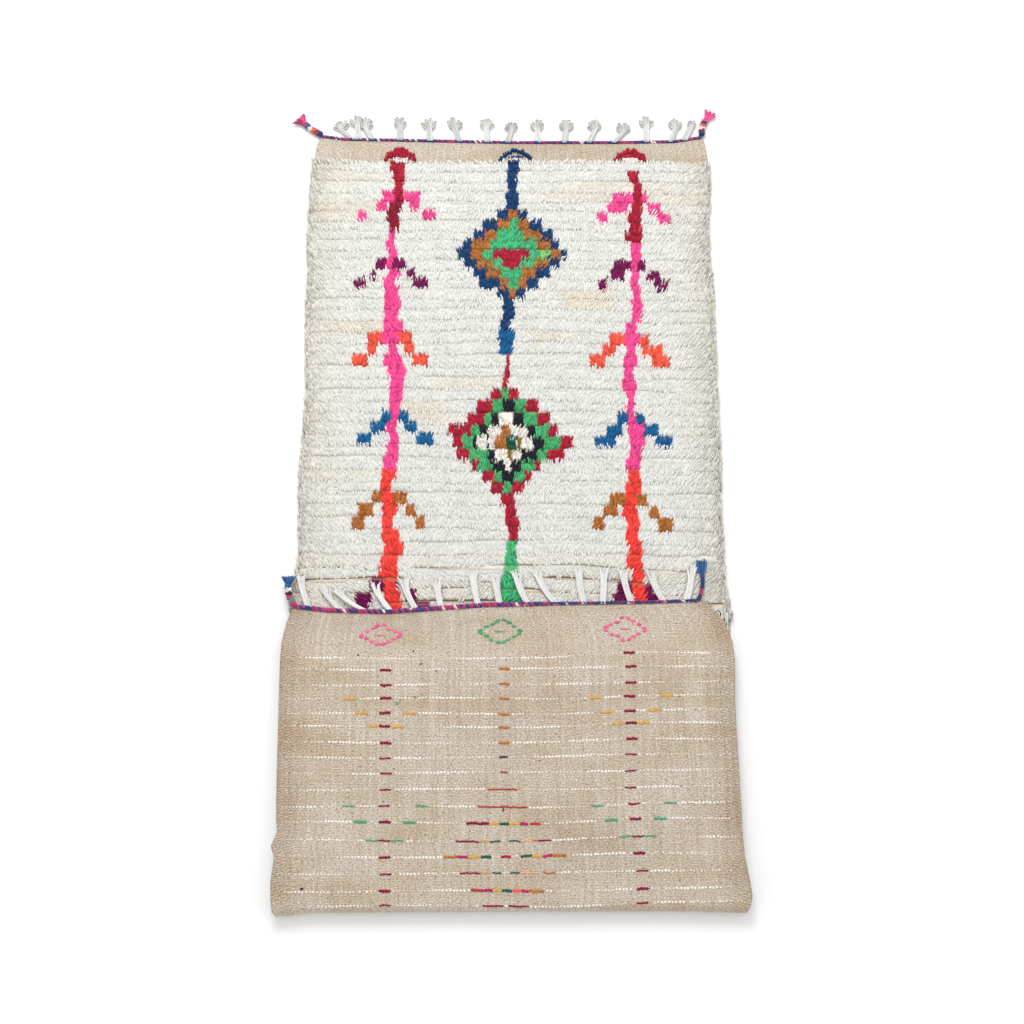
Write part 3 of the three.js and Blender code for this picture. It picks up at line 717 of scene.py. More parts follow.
# %% [markdown]
# The finish puts these together. The colour is the product of the layers, the painted shade of the
# grooves, and the stains and painted shade held by the cloth's attribute; the relief adds the wefts, the
# grain and the ribs into one bump.

# %% Flatweave material
# The grooves between the ribs are darkened towards this tone as painted shade
GROOVE_SHADE_TONE = dye(229, 217, 203)
WEFT_SCALE = 120
RIB_BUMP = 0.9
WEAVE_DEEP = 0.0010


def flatweave():
    """Undyed plain weave, cream and tan."""
    finish = bpy.data.materials.new("flatwoven_ground")
    finish.use_nodes = True
    tree = finish.node_tree
    link = tree.links.new
    shader = tree.nodes["Principled BSDF"]
    shader.inputs["Roughness"].default_value = 0.95
    shader.inputs["Specular IOR Level"].default_value = 0.2
    shader.inputs["Sheen Weight"].default_value = 0.05
    cloth_map = node(tree, "ShaderNodeUVMap", (-1700, 0), uv_map="cloth").outputs["UV"]
    grain, colour = weave_layer(tree, cloth_map, GRAIN, 400)
    for step, layer in enumerate((FLECKS, WARP_STREAKS, PATCHES)):
        _, tones = weave_layer(tree, cloth_map, layer, 100 - 300 * step)
        colour = times(tree, colour, tones, (-600 + 150 * step, 300 - 100 * step))
    rib_height, groove = rim_ribs(tree, cloth_map)
    groove_shade = two_tones(tree, groove, (-300, -1200), 0.0, WHITE, 1.0, GROOVE_SHADE_TONE)
    colour = times(tree, colour, groove_shade, (-200, 50))
    soil_and_shade = node(tree, "ShaderNodeAttribute", (-600, -700), attribute_name="soil_and_shade")
    worn_and_shaded = node(tree, "ShaderNodeVectorMath", (-150, 100), operation="SCALE")
    link(colour, worn_and_shaded.inputs[0])
    link(soil_and_shade.outputs["Fac"], worn_and_shaded.inputs["Scale"])
    link(worn_and_shaded.outputs["Vector"], shader.inputs["Base Color"])
    wefts = node(tree, "ShaderNodeTexWave", (-1200, -900), bands_direction="Y")
    wefts.inputs["Scale"].default_value = WEFT_SCALE
    wefts.inputs["Distortion"].default_value = 3
    link(cloth_map, wefts.inputs["Vector"])
    height = reckon(tree, "ADD", (-600, -900), wefts.outputs["Fac"], grain)
    ribbed = reckon(tree, "MULTIPLY_ADD", (-450, -900), rib_height, RIB_BUMP, height)
    relief = node(tree, "ShaderNodeBump", (-300, -600))
    relief.inputs["Strength"].default_value = 0.8
    relief.inputs["Distance"].default_value = WEAVE_DEEP
    link(ribbed, relief.inputs["Height"])
    link(relief.outputs["Normal"], shader.inputs["Normal"])
    return finish


cloth_mesh.polygons.foreach_set("use_smooth", np.ones(len(cloth_mesh.polygons), bool))
cloth_mesh.materials.append(flatweave())
ground_cloth = bpy.data.objects.new("ground_cloth", cloth_mesh)
bpy.context.scene.collection.objects.link(ground_cloth)
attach(ground_cloth, "root")
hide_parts("folded_rug")
print("ground cloth:", len(cloth_mesh.polygons) * 2, "triangles")

# %% [markdown]
# The pattern is charted as a weaver counts it: by rows of knots. Row 1 is next to the far band.
# First the rows get their places along the cloth, because everything in the pile hangs on them.

# %% Rows of knots
TIP_REACH = 27
NEAR_PITCH = 23.8
OPEN_ROWS = 41
FOLD_CLEAR = 64
# Rows are a little closer together in the far third: row and the place that its tips reach
TIP_LINES = [(1, 757), (3, 708), (15, 444), (23, 246), (28, 131), (38, -110), (42, -196)]


def root_rows():
    """Runs of the rows' roots: the open rows first, then those pressed inside the fold."""
    rows = np.arange(1, OPEN_ROWS + 1)
    runs = list(FAR_END - np.interp(rows, *np.array(TIP_LINES).T) + TIP_REACH)
    while runs[-1] < FLOOR_RUN - FOLD_CLEAR:
        runs.append(runs[-1] + NEAR_PITCH)
    return np.array(runs)


ROOTS = root_rows()
print(len(ROOTS), "rows on the floor, the first", OPEN_ROWS, "in the open")

# %% [markdown]
# Three columns grow down the rug, each on a stem of one to three knots' width. The weaver changed
# yarn as it went, and never kept quite straight. A stem is charted here by its middle and half
# width in those rows where they change, in millimetres from the rug's centre line.

# %% The chart: stems
# Row, middle and half width of each stem
LEFT_STEM = [
    (1, -229, 13), (3, -224, 11), (4, -224, 10), (5, -235, 12), (6, -234, 11), (7, -233, 13),
    (8, -236, 9), (11, -237, 9), (12, -233, 10), (13, -238, 11), (14, -236, 15), (18, -230, 18),
    (19, -232, 9), (20, -229, 16), (21, -222, 15), (25, -223, 7), (26, -224, 10), (27, -224, 10),
    (28, -222, 13), (32, -231, 11), (33, -226, 14), (34, -225, 12), (35, -218, 15), (38, -222, 15),
    (39, -218, 12), (40, -217, 16), (41, -212, 13),
]
RIGHT_STEM = [
    (1, 245, 12), (3, 247, 9), (4, 249, 9), (5, 243, 13), (6, 246, 12), (7, 242, 13), (8, 239, 14),
    (11, 240, 10), (12, 236, 9), (13, 237, 11), (14, 242, 9), (18, 230, 13), (19, 224, 9),
    (20, 226, 14), (21, 225, 12), (25, 225, 7), (26, 232, 13), (27, 232, 14), (28, 227, 12),
    (32, 221, 12), (33, 219, 13), (34, 222, 11), (35, 220, 13), (38, 222, 12), (39, 227, 11),
    (40, 230, 12), (41, 236, 15),
]
MIDDLE_STEM = [
    (1, 2, 12), (2, 2, 12.5), (3, 1, 8), (4, 1, 13.5), (5, 1, 12), (14, -8, 14), (15, -9, 10.5),
    (16, -5, 13.5), (17, -12, 9), (18, -12, 16), (19, -10, 12), (20, -8, 5), (22, -12, 4.5),
    (32, -8, 12.5), (33, -4, 9.5), (34, 0, 12), (35, 4, 10), (36, 0, 10.5), (38, -3, 13),
    (39, -2, 20), (41, 0, 24),
]
LEFT_DYES = [(1, "crimson"), (5, "burgundy"), (8, "pink"), (30, "poppy")]
RIGHT_DYES = [(1, "crimson"), (9, "pink"), (30, "poppy")]
MIDDLE_DYES = [(1, "navy"), (18, "blue"), (20, "crimson"), (36, "green")]
print("the left stem is charted in", len(LEFT_STEM), "rows")

# %% [markdown]
# From the side stems grow pairs of stepped branches, and the middle stem strings two lozenges. No
# two rows of a hand-knotted figure are quite alike, so each row has its own left and right edge,
# charted one by one. Later figures cover earlier ones, so a lozenge is a stack of smaller and smaller
# shapes, each in the next colour.

# %% The chart: branches and lozenges
# Each branch: dye, first row, then left and right edge row by row, going down the stem
BRANCHES = [
    ("pink", 4, [(-258, -222), (-269, -248), (-307, -286)]),
    ("pink", 4, [(-226, -184), (-204, -184), (-177, -150)]),
    ("pink", 4, [(200, 246), (190, 228), (169, 190)]),
    ("pink", 4, [(246, 272), (267, 296), (286, 312)]),
    ("plum", 11, [(-268, -238), (-277, -265), (-306, -283)]),
    ("plum", 11, [(-236, -208), (-207, -189), (-193, -163)]),
    ("plum", 11, [(198, 240), (192, 221), (166, 185)]),
    ("plum", 11, [(240, 262), (262, 290), (280, 304)]),
    ("orange", 18, [(-276, -236), (-278, -261), (-306, -275)]),
    ("orange", 18, [(-224, -192), (-208, -187), (-190, -159)]),
    ("orange", 18, [(188, 226), (174, 198), (150, 177)]),
    ("orange", 18, [(228, 262), (246, 288), (267, 300)]),
    ("blue", 25, [(-246, -224), (-266, -238), (-289, -264)]),
    ("blue", 25, [(-222, -196), (-201, -177), (-180, -147)]),
    ("blue", 25, [(198, 224), (176, 207), (154, 193)]),
    ("blue", 25, [(228, 248), (246, 274), (268, 299)]),
    ("tan", 32, [(-258, -232), (-282, -254), (-292, -270)]),
    ("tan", 32, [(-228, -193), (-197, -177), (-177, -159)]),
    ("tan", 32, [(181, 216), (167, 195), (147, 169)]),
    ("tan", 32, [(222, 248), (251, 270), (267, 293)]),
    ("plum", 39, [(-254, -220), (-280, -252), (-284, -256)]),
    ("plum", 39, [(-218, -203), (-190, -170), (-183, -147)]),
    ("plum", 39, [(187, 224), (180, 212), (171, 200)]),
    ("plum", 39, [(228, 254), (234, 262), (240, 262)]),
]
# The two lozenges, from outside in: dye, first row, then left and right edge row by row
LOZENGES = [
    ("navy", 6, [(-28, 32), (-59, 61), (-76, 81), (-98, 91), (-108, 106), (-94, 94), (-76, 72),
                 (-62, 51), (-29, 25)]),
    ("tan", 6, [(-6, 11), (-29, 35), (-57, 56), (-79, 76), (-80, 94), (-70, 70), (-49, 46),
                (-24, 29), (-6, 8)]),
    ("green", 7, [(-4, 12), (-30, 22), (-41, 51), (-59, 57), (-39, 45), (-24, 21), (-8, 12)]),
    ("lime", 10, [(58, 76)]),
    ("crimson", 10, [(-37, 33), (-18, 18)]),
    ("crimson", 23, [(-40, 13), (-64, 49), (-85, 73), (-120, 86), (-112, 115), (-103, 97), (-76, 54),
                     (-54, 35), (-39, 20)]),
    ("moss", 23, [(-21, -5), (-38, 26), (-53, 47), (-77, 71), (-92, 90), (-80, 67), (-63, 43),
                  (-35, 22), (-18, 0)]),
    ("black", 24, [(-18, 5), (-39, 22), (-62, 43), (-73, 61), (-46, 46), (-37, 16), (-20, 3)]),
    ("cream", 25, [(-24, 0), (-45, 30), (-65, 39), (-34, 17), (-15, -2)]),
    ("black", 27, [(-47, -45)]),
    ("tan", 26, [(-22, -2), (-34, -11)]),
    ("deep_green", 27, [(-13, 11)]),
    ("olive", 27, [(11, 19), (-8, 1)]),
]
print(len(BRANCHES), "branches and", len(LOZENGES), "shapes in the lozenges")

# %% [markdown]
# Hand-spun wool comes in small batches. Where a new batch begins, a stretch of a row is a little
# warmer than its neighbours. These faint streaks are charted like the figures.

# %% The chart: streaks of another batch
# Row, left and right edge, strength
SAND_STREAKS = [
    (2, -395, -250, 0.3), (3, 120, 330, 0.3), (4, 60, 395, 0.45), (5, -395, -240, 0.4),
    (6, -395, -280, 0.3), (14, 90, 200, 0.6), (15, 100, 190, 0.7), (17, -355, -250, 0.5),
    (18, 40, 120, 0.4), (22, -150, -30, 0.35), (24, -220, -130, 0.55), (25, -200, -120, 0.45),
    (30, -395, -250, 0.25), (37, -390, 380, 0.12), (38, 80, 380, 0.2), (39, -395, 385, 0.15),
    (40, -395, 385, 0.25),
]
print(len(SAND_STREAKS), "streaks")

# %% [markdown]
# The figures lie over each other in a fixed order: branches, then stems, then lozenges. Every
# edge strays by a millimetre or so, as hand-tied knots do. The random numbers come from one seeded
# source, so the rug is the same each time the script runs.

# %% Read the chart
chance = np.random.default_rng(8)
EDGE_STRAY = 1.5
STEMS = [(LEFT_STEM, LEFT_DYES, 4.5), (RIGHT_STEM, RIGHT_DYES, 4.5), (MIDDLE_STEM, MIDDLE_DYES, 1.5)]


def table(rows, at, column=1):
    """Reads one column of a table between its rows."""
    return float(np.interp(at, [r[0] for r in rows], [r[column] for r in rows]))


def dye_from(rows, at):
    """The last dye that starts at or before a row."""
    return [name for start, name in rows if start <= at][-1]


def stem_spans(row):
    """Left edge, right edge and dye of each stem in one row; the right one starts in row 2."""
    spans = []
    for places, dyes, stray in STEMS:
        middle = table(places, row) + chance.uniform(-stray, stray)
        wide = table(places, row, 2) + chance.uniform(-stray, stray) * 0.6
        if row > 1 or places is not RIGHT_STEM:
            spans.append((middle - wide, middle + wide, dye_from(dyes, row)))
    return spans


def figure_spans(figures, row):
    """What a list of figures has in one row, in the list's order."""
    spans = []
    for name, first, edges in figures:
        if first <= row < first + len(edges):
            left, right = (edge + chance.uniform(-EDGE_STRAY, EDGE_STRAY) for edge in edges[row - first])
            spans.append((left, right, name))
    return spans


def dye_rows():
    """For each open row, its spans in the order that they are laid over each other."""
    return {row: figure_spans(BRANCHES, row) + stem_spans(row) + figure_spans(LOZENGES, row)
            for row in range(1, OPEN_ROWS + 1)}


CHART = dye_rows()
SLANTS = {row: chance.uniform(-8, 8, len(spans)) for row, spans in CHART.items()}
print("the chart has", sum(len(spans) for spans in CHART.values()), "spans")

# %% [markdown]
# Now the pile. Each knot leaves yarn ends that stand up and lean towards the far end, and the tips
# of one row lie over the roots of the next. A hair system would look alike, but it would not be a
# mesh that can be measured and exported, so each end is a thin bent tube of 20 triangles. Only its
# tip shows, so the ends are short and stand in three lines to a row, like the shingles of a roof.

# %% How one end of pile stands
# Three rings of an end, from root to tip: share of its height, of its lean and of its thickness, and
# painted shade that darkens it towards its root
RISE = np.array([0.0, 0.82, 1.0])
REACH = np.array([0.0, 0.42, 1.0])
PILE_THICK = np.array([0.9, 1.0, 0.6])
ROOT_SHADE = np.array([0.92, 0.97, 1.0])


def stand_up(x, run, high, reach, aside, thick, dyes, sink=1.5):
    """Paths of pile ends: roots at x and run, rising, leaning along the rug and aside."""
    y, z, ny, nz = cloth_at(run)
    y = y + stray_at(run, x)
    up = GROUND - sink + (high[:, None] + sink) * RISE
    lean = reach[:, None] * REACH
    path = np.empty((len(x), len(RISE), 3))
    path[..., 0] = x[:, None] + aside[:, None] * REACH
    path[..., 1] = y[:, None] + ny[:, None] * up + nz[:, None] * lean
    path[..., 2] = z[:, None] + nz[:, None] * up - ny[:, None] * lean
    shades = dyes[:, None, :] * ROOT_SHADE[None, :, None]
    return bend(path, thick[:, None] * PILE_THICK, shades)


print("each end has", len(RISE), "rings and leans most at its tip")

# %% [markdown]
# Undyed wool changes from fleece to fleece, and a weaver who runs out of one ball goes on with the
# next, so the ivory has faint streaks of sand and warmer rims. In a dyed block all ends lean
# together and fan out a little, which gives the blocks of a real rug their ragged edges.

# %% The dye of each end
HALF_WIDE = 395
FLEECE_CHANGE = 0.03
RIM_WARMTH = 0.35
WARM_ZONE = 60
STREAK_EASE = 30
SPLAY = 0.2
SPLAY_WIDE = 26
SLANT_SHARE = 0.45


def fleece_dyes(row, x):
    """Undyed wool: ivory that turns to sand at the rims and in streaks."""
    fleece = 1 + FLEECE_CHANGE * np.sin(x / 37 + row * 1.7) * np.sin(x / 11 + row)
    warm = (RIM_WARMTH * np.exp(-((HALF_WIDE - np.abs(x)) / WARM_ZONE) ** 2))[:, None]
    dyes = (DYES["ivory"] * (1 - warm) + DYES["sand"] * warm) * fleece[:, None]
    for streak_row, left, right, strength in SAND_STREAKS:
        if streak_row == row:
            begin = smooth(left - STREAK_EASE, left + STREAK_EASE, x)
            share = strength * begin * (1 - smooth(right - STREAK_EASE, right + STREAK_EASE, x))
            dyes = dyes + (DYES["sand"] - dyes) * share[:, None]
    return dyes


def row_dyes(row, x):
    """The dye of each end in a row, and how far it leans aside as part of its own block."""
    dyes = fleece_dyes(row, x)
    fan = np.zeros(len(x))
    in_block = np.zeros(len(x), bool)
    for (left, right, name), slant in zip(CHART.get(row, []), SLANTS.get(row, [])):
        inside = (x > left) & (x < right)
        dyes[inside] = DYES[name]
        width = min(right - left, SPLAY_WIDE)
        splay = SPLAY * np.clip(x - (left + right) / 2, -width / 2, width / 2)
        fan = np.where(inside, splay + SLANT_SHARE * slant, fan)
        in_block |= inside
    return dyes, fan, in_block


print("row 10 starts with", row_dyes(10, np.array([-390.0]))[0].round(2))

# %% [markdown]
# The weaver beats each row down with a heavy comb, so rows waver a little and bow where the beat
# was uneven. Every piece of the pile follows the same wavering lines, drawn once here.

# %% How the rows waver
# Near the lower lozenge the rows bow towards the fold: row and how far
BOW = [(24, 0), (25, 5.5), (27, 6.5), (28, 9.5), (29, 9.5), (30, 7.5), (31, 0.5), (32, 0)]
ROW_PHASES = chance.uniform(0, 6, OPEN_ROWS + 2)
ROW_WAVES = chance.uniform(60, 110, OPEN_ROWS + 2)


def waver(row, x):
    """How far a row's line strays from a straight one."""
    loose = smooth(35, 38, row)
    long_wave = (2.4 + 3.0 * loose) * np.sin(ROW_PHASES[row] + x / ROW_WAVES[row])
    short_wave = (1.0 + 0.8 * loose) * np.sin(ROW_PHASES[row] * 3 + x / 23)
    corner = 9 * np.exp(-((x + 400) / 70) ** 2) * (1 - smooth(1, 4, row))
    bow = table(BOW, row) * np.exp(-(x / 130) ** 4)
    slope = 6 * smooth(60, 300, x) * smooth(2, 4, row)
    return long_wave + short_wave - corner + bow + slope


def nearest_row(x, y):
    """The row that each place belongs to, and how far past its roots the place lies."""
    row = np.ones(len(x), int)
    past = np.full(len(x), -1e3)
    for k in range(1, OPEN_ROWS + 2):
        gap = y - (FAR_END - ROOTS[k - 1] - waver(k, x))
        nearer = (gap >= 0) & ((past < 0) | (gap < past))
        row = np.where(nearer, k, row)
        past = np.where(nearer, gap, past)
    return row, past


print("row 27 strays by", waver(27, np.array([-300.0, 0, 300])).round(1), "mm at three places")

# %% [markdown]
# Near its roots the pile is so dense that it reads as one mass of wool, with a low ridge for each
# row. It takes its dyes from the same chart, so a gap between two tips shows wool of the right
# colour and no dark hole. It is painted a little darker overall, and between two rows it is darkened
# towards shadow brown as painted shade, as light hardly reaches down there.

# %% Ridges, dyes and painted shade of the mass
SHADOW_BROWN = dye(150, 118, 84)
SLAB_INSET = 5
VALLEY_PITCH = 24
VALLEY_WIDE = 2.6
# One ridge of the slab: how far past its roots, and how high
RIDGE = np.array([(0, 6.4), (3, 6.9), (12, 8.2), (22, 8.6), (27, 6.9)])


def slab_rise(past, rim_gap):
    """Height of the slab: one ridge a row, lower at the rims, and a little uneven."""
    rise = np.interp(past, *RIDGE.T)
    rim_drop = 1 - 0.5 * np.exp(-((rim_gap - SLAB_INSET) / 9) ** 2)
    return rise * rim_drop + chance.uniform(-0.5, 0.5, len(past))


def slab_tints(row, past, x):
    """Dyes of the slab with painted shade: a little darker overall, and browner in the valleys between two
    rows.
    """
    tints = np.zeros((len(x), 3))
    for k in range(1, OPEN_ROWS + 2):
        mine = row == k
        tints[mine] = row_dyes(min(k, OPEN_ROWS), x[mine])[0]
    valley = np.exp(-(np.minimum(past, VALLEY_PITCH - past) / VALLEY_WIDE) ** 2)
    deep = 0.15 + 0.55 * smooth(36, 39, row)
    share = (valley * deep)[:, None]
    return 0.95 * tints * (1 - share) + SHADOW_BROWN * share


print("a ridge is", RIDGE[:, 1].max(), "mm high above the ground cloth")

# %% [markdown]
# The mass is a single closed slab: a grid is raised into its ridges, its border is extruded down
# to the ground cloth and the hole is filled. Below the flap it sinks a little under its weight.

# %% The mass of wool under the tips
SLAB_CELLS = (146, 196)
SLAB_MIDDLE = 278
SLAB_HALF = 472
SLAB_FOOT = GROUND - 0.5
UNDER_FLAP = FAR_END - FLAP_END


def wool_mass():
    """The closed slab of wool, its dyes and its bake map."""
    slab = bmesh.new()
    bmesh.ops.create_grid(slab, x_segments=SLAB_CELLS[0], y_segments=SLAB_CELLS[1], size=1)
    flat_places = np.array([v.co for v in slab.verts])
    y = SLAB_MIDDLE + flat_places[:, 1] * SLAB_HALF
    left, right = rims_at(0, y)
    x = (left + right) / 2 + flat_places[:, 0] * ((right - left) / 2 - SLAB_INSET)
    row, past = nearest_row(x, y)
    rise = slab_rise(past, np.minimum(x - left, right - x))
    tints = slab_tints(row, past, x)
    rise = rise - 1.5 * smooth(UNDER_FLAP - 10, UNDER_FLAP + 10, FAR_END - y)
    for vertex, place in zip(slab.verts, np.stack([x, y, GROUND + rise], axis=1) * MM):
        vertex.co = place
    dye_and_shade_layer = slab.verts.layers.float_color.new("dye")
    for vertex, tint in zip(slab.verts, tints):
        vertex[dye_and_shade_layer] = (*tint, 1)
    baking = slab.loops.layers.uv.new(BAKE_MAP)
    slab.verts.index_update()
    for face in slab.faces:
        for loop in face.loops:
            spot = flat_places[loop.vert.index]
            loop[baking].uv = (0.02 + 0.44 * (spot[0] + 1), 0.02 + 0.48 * (spot[1] + 1))
    border = [edge for edge in slab.edges if edge.is_boundary]
    skirt = bmesh.ops.extrude_edge_only(slab, edges=border)["geom"]
    for part in skirt:
        if isinstance(part, bmesh.types.BMVert):
            part.co.z = SLAB_FOOT * MM
    bottom = [edge for edge in slab.edges if edge.is_boundary]
    bmesh.ops.holes_fill(slab, edges=bottom, sides=0)
    bmesh.ops.recalc_face_normals(slab, faces=slab.faces)
    mesh = bpy.data.meshes.new("pile_mass")
    slab.to_mesh(mesh)
    print("wool mass:", len(slab.faces), "faces, open edges", sum(e.is_boundary for e in slab.edges))
    slab.free()
    mesh.polygons.foreach_set("use_smooth", np.ones(len(mesh.polygons), bool))
    return mesh


mass_mesh = wool_mass()
mass_mesh.materials.append(pile_wool)
pile_mass = bpy.data.objects.new("pile_mass", mass_mesh)
bpy.context.scene.collection.objects.link(pile_mass)
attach(pile_mass, "root")
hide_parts("folded_rug")

# %% [markdown]
# Over the mass lie the ends that are seen. A row is three lines of them, each a little further
# along, with random heights, leans and thicknesses, so no two ends are alike. The pile is combed
# outwards at the rims, and the last rows before the flap are swept flat by it.

# %% The open pile: its lines of ends
END_PITCH = 3.6
CREST_HIGH = 10.4
LINES = (0, 8, 16)
END_REACH = 11
RIM_FADE = 14
# x of a place, then how far the pile is combed aside there
COMBED = np.array([(-400, -0.5), (-330, -0.35), (-250, -0.05), (0, 0.05), (200, 0.15), (320, 0.4),
                   (400, 0.7)])


def rims_of(run):
    """Left and right rim beside one row."""
    left, right = rims_at(run, cloth_at(run)[0])
    return float(left), float(right)


def comb_at(x, y):
    """How far the pile is combed aside at a place, as a share of its reach."""
    return np.interp(x, *COMBED.T) + 0.22 * np.sin(x / 55 + y / 40) + 0.16 * np.sin(x / 21 - y / 33)


def open_line(row, line):
    """One of the three lines of ends that make up a row of the open pile."""
    run = ROOTS[row - 1]
    left, right = rims_of(run)
    count = int((right - left - 4) / END_PITCH)
    x = np.linspace(left + 3, right - 3, count) + chance.uniform(-1.8, 1.8, count)
    wild = smooth(35, 40, row)
    swept = smooth(36, 38.5, row)
    rim_gap = np.minimum(x - left, right - x)
    edge = np.exp(-(rim_gap / RIM_FADE) ** 2)
    rough = 1 - 0.5 * smooth(24, 32, row) * (line == LINES[-1])
    high = CREST_HIGH + chance.normal(0, 0.6, count)
    reach = (END_REACH + chance.normal(0, 1.7, count) * rough) * (1 - 0.2 * swept)
    dyes, fan, in_block = row_dyes(row, x + chance.normal(0, 0.9, count))
    inner = reach * comb_at(x, FAR_END - run) + chance.normal(0, 1.1, count)
    inner += swept * 8 * np.sin(x / 130 + row * 1.1 + 1) + wild * 2 * np.sin(x / 23 + row * 2)
    outer = np.sign(x) * chance.uniform(0, 4, count)
    aside = (inner + fan) * (1 - edge) + outer * edge
    x = x - 0.5 * inner * (1 - edge) - 0.8 * fan
    high *= 1 - 0.45 * edge
    runs = run + waver(row, x) - line * (1 - 0.2 * swept) + chance.normal(0, 2.2, count) * rough
    high = np.minimum(high, CREST_HIGH - 2.8 * smooth(UNDER_FLAP - 10, UNDER_FLAP + 14, runs))
    thick = chance.uniform(1.75, 2.4, count)
    dyes = dyes * speckle_and_rim_shade(x, rim_gap, in_block)[:, None]
    return stand_up(x, runs, high, reach, aside, thick, dyes)


def speckle_and_rim_shade(x, rim_gap, in_block):
    """Brightness of each end: lively in a dyed block, and darkened at random near the shaggy rims as
    painted shade.
    """
    count = len(x)
    speckle = np.where(in_block, chance.uniform(0.6, 1.2, count), chance.uniform(0.93, 1.05, count))
    rim_shade = np.exp(-((rim_gap + 8 * (x < 0)) / 38) ** 2)
    return speckle * (1 - rim_shade * chance.uniform(0, 0.42, count))


print("the pile leans", comb_at(380, 0).round(2), "of its reach aside near the right rim")

# %% [markdown]
# Two small things finish each row: short sandy tufts that spill over the rims, darkened at random
# as painted shade, and the weft that shows as a thin line in the furrow before the next row, its
# colour a darkened copy of the row's wool, browner near the flap: partly the weft, partly painted shade.
# Then the rows are joined into four pieces, because a single one would hold too many triangles.

# %% The open pile, in pieces
OPEN_PIECES = ((1, 10), (11, 20), (21, 31), (32, 41))
RIM_TUFTS = 12
FURROW_STEP = 9.0


def rim_tufts(row):
    """Short ends that spill over both rims beside one row."""
    run = ROOTS[row - 1]
    left, right = rims_of(run)
    side = np.where(np.arange(2 * RIM_TUFTS) < RIM_TUFTS, -1, 1)
    count = len(side)
    inset = chance.uniform(3, 15, count)
    x = np.where(side < 0, left + inset, right - inset)
    runs = run - chance.uniform(0, 22, count)
    high = chance.uniform(4.5, 8.0, count)
    reach = chance.uniform(7, 16, count)
    aside = side * chance.uniform(0, 5, count)
    thick = chance.uniform(1.3, 1.9, count)
    amount = chance.uniform(0.1, 1.0, (count, 1))
    dyes = DYES["ivory"] * (1 - amount) + DYES["sand"] * amount
    # Each tuft is also darkened at random: painted shade among the shaggy rims
    return stand_up(x, runs, high, reach, aside, thick, dyes * chance.uniform(0.55, 1.0, (count, 1)))


def furrow(row):
    """A thin line in the furrow beyond a row's roots: partly the weft, partly painted shade."""
    run = ROOTS[row - 1]
    left, right = rims_of(run)
    x = np.arange(left + 6, right - 6, FURROW_STEP)
    rim_gap = np.minimum(x - left, right - x)
    swept = float(smooth(35.5, 38, row))
    up = 8.1 + 1.5 * np.sin(x / 37 + row * 2.3) * np.sin(x / 83 + row)
    up = up - 4 * np.exp(-(rim_gap / 16) ** 2) - 1.2 * swept
    along = FAR_END - run - waver(row, x) + 4.2 - 3.4 * swept
    path = np.stack([x, along, GROUND + up], axis=1)
    wool, _, in_block = row_dyes(row, x)
    # The line is a darkened copy of the row's wool, browner near the flap: painted shade over the weft
    shaded_weft_tone = wool * 0.7 * (1 - swept) + SHADOW_BROWN * (0.1 + 0.68 * swept)
    tint = np.where(in_block[:, None], wool * 0.6, shaded_weft_tone)
    return bend(path[None], 0.75 + 0.55 * swept, tint[None])


for first, last in OPEN_PIECES:
    rows = [open_line(row, line) for row in range(first, last + 1) for line in LINES]
    rows += [rim_tufts(row) for row in range(first, last + 1)]
    rows += [furrow(row) for row in range(first, last + 1)]
    name = f"pile_rows_{first}_to_{last}"
    add_piece(name, rows, pile_wool, "folded_rug")

# %% [markdown]
# Inside the fold the pile is pressed flat between the two layers. Only its rims show, so they get
# every yarn end, and the middle, which nobody sees, gets a few thick locks that fill it.

# %% The pile inside the fold
PRESSED_HIGH = 7.2
LOCK_PITCH = 15.0
DENSE_RIM = 36
# Below the flap's lifted right corner the fine ends reach further in
LIFTED_RIM = 110
LIFTED_TO = 1080


def pressed_row(run, dense_right=DENSE_RIM):
    """One row of the pressed pile, dense at the rims."""
    left, right = rims_of(run)
    fine_left = np.arange(left + 7, left + DENSE_RIM, END_PITCH)
    fine_right = np.arange(right - dense_right, right - 7, END_PITCH)
    locks = np.arange(left + 40, right - 44, LOCK_PITCH)
    x = np.concatenate([fine_left, fine_right, locks])
    fine = np.arange(len(x)) < len(fine_left) + len(fine_right)
    x = x + chance.uniform(-1.2, 1.2, len(x))
    rim_gap = np.minimum(x - left, right - x)
    aside = np.sign(x) * np.exp(-(rim_gap / 18) ** 2) * chance.uniform(0, 5, len(x))
    aside = aside + chance.normal(0, 1, len(x))
    high = np.where(fine, PRESSED_HIGH + chance.normal(0, 0.3, len(x)), 4.8)
    reach = 27 + chance.normal(0, 2, len(x))
    thick = np.where(fine, chance.uniform(1.5, 1.9, len(x)), 3.6)
    dyes = DYES["ivory"] * chance.uniform(0.86, 1.06, (len(x), 1))
    runs = run + chance.normal(0, 1.2, len(x))
    return stand_up(x, runs, high, reach, aside, thick, dyes, sink=0)


floor_rows = [pressed_row(run, LIFTED_RIM if run < LIFTED_TO else DENSE_RIM)
              for run in ROOTS[OPEN_ROWS:]]
flap_pile_runs = np.arange(FLAP_START + 36, WHOLE_RUN - FLAP_BAND - 8, NEAR_PITCH)
flap_rows = [pressed_row(run) for run in flap_pile_runs]
add_piece("pile_under_flap", floor_rows, pile_wool, "folded_rug")
add_piece("pile_of_flap", flap_rows, pile_wool, "folded_rug")

# %% [markdown]
# At the head of each column the weaver knotted a small crown straight on to the flat band: an
# arch like a mushroom, with short tufts of pale wool below. The tufts are the same bent yarns, only
# shorter, set on a small grid, and a rule on the distance from the crown's middle picks the dye.

# %% The crowns
# Middle, dye and drawing of each crown
CROWNS = [(-226, "crimson", "full"), (8, "navy", "bar"), (239, "crimson", "arc")]
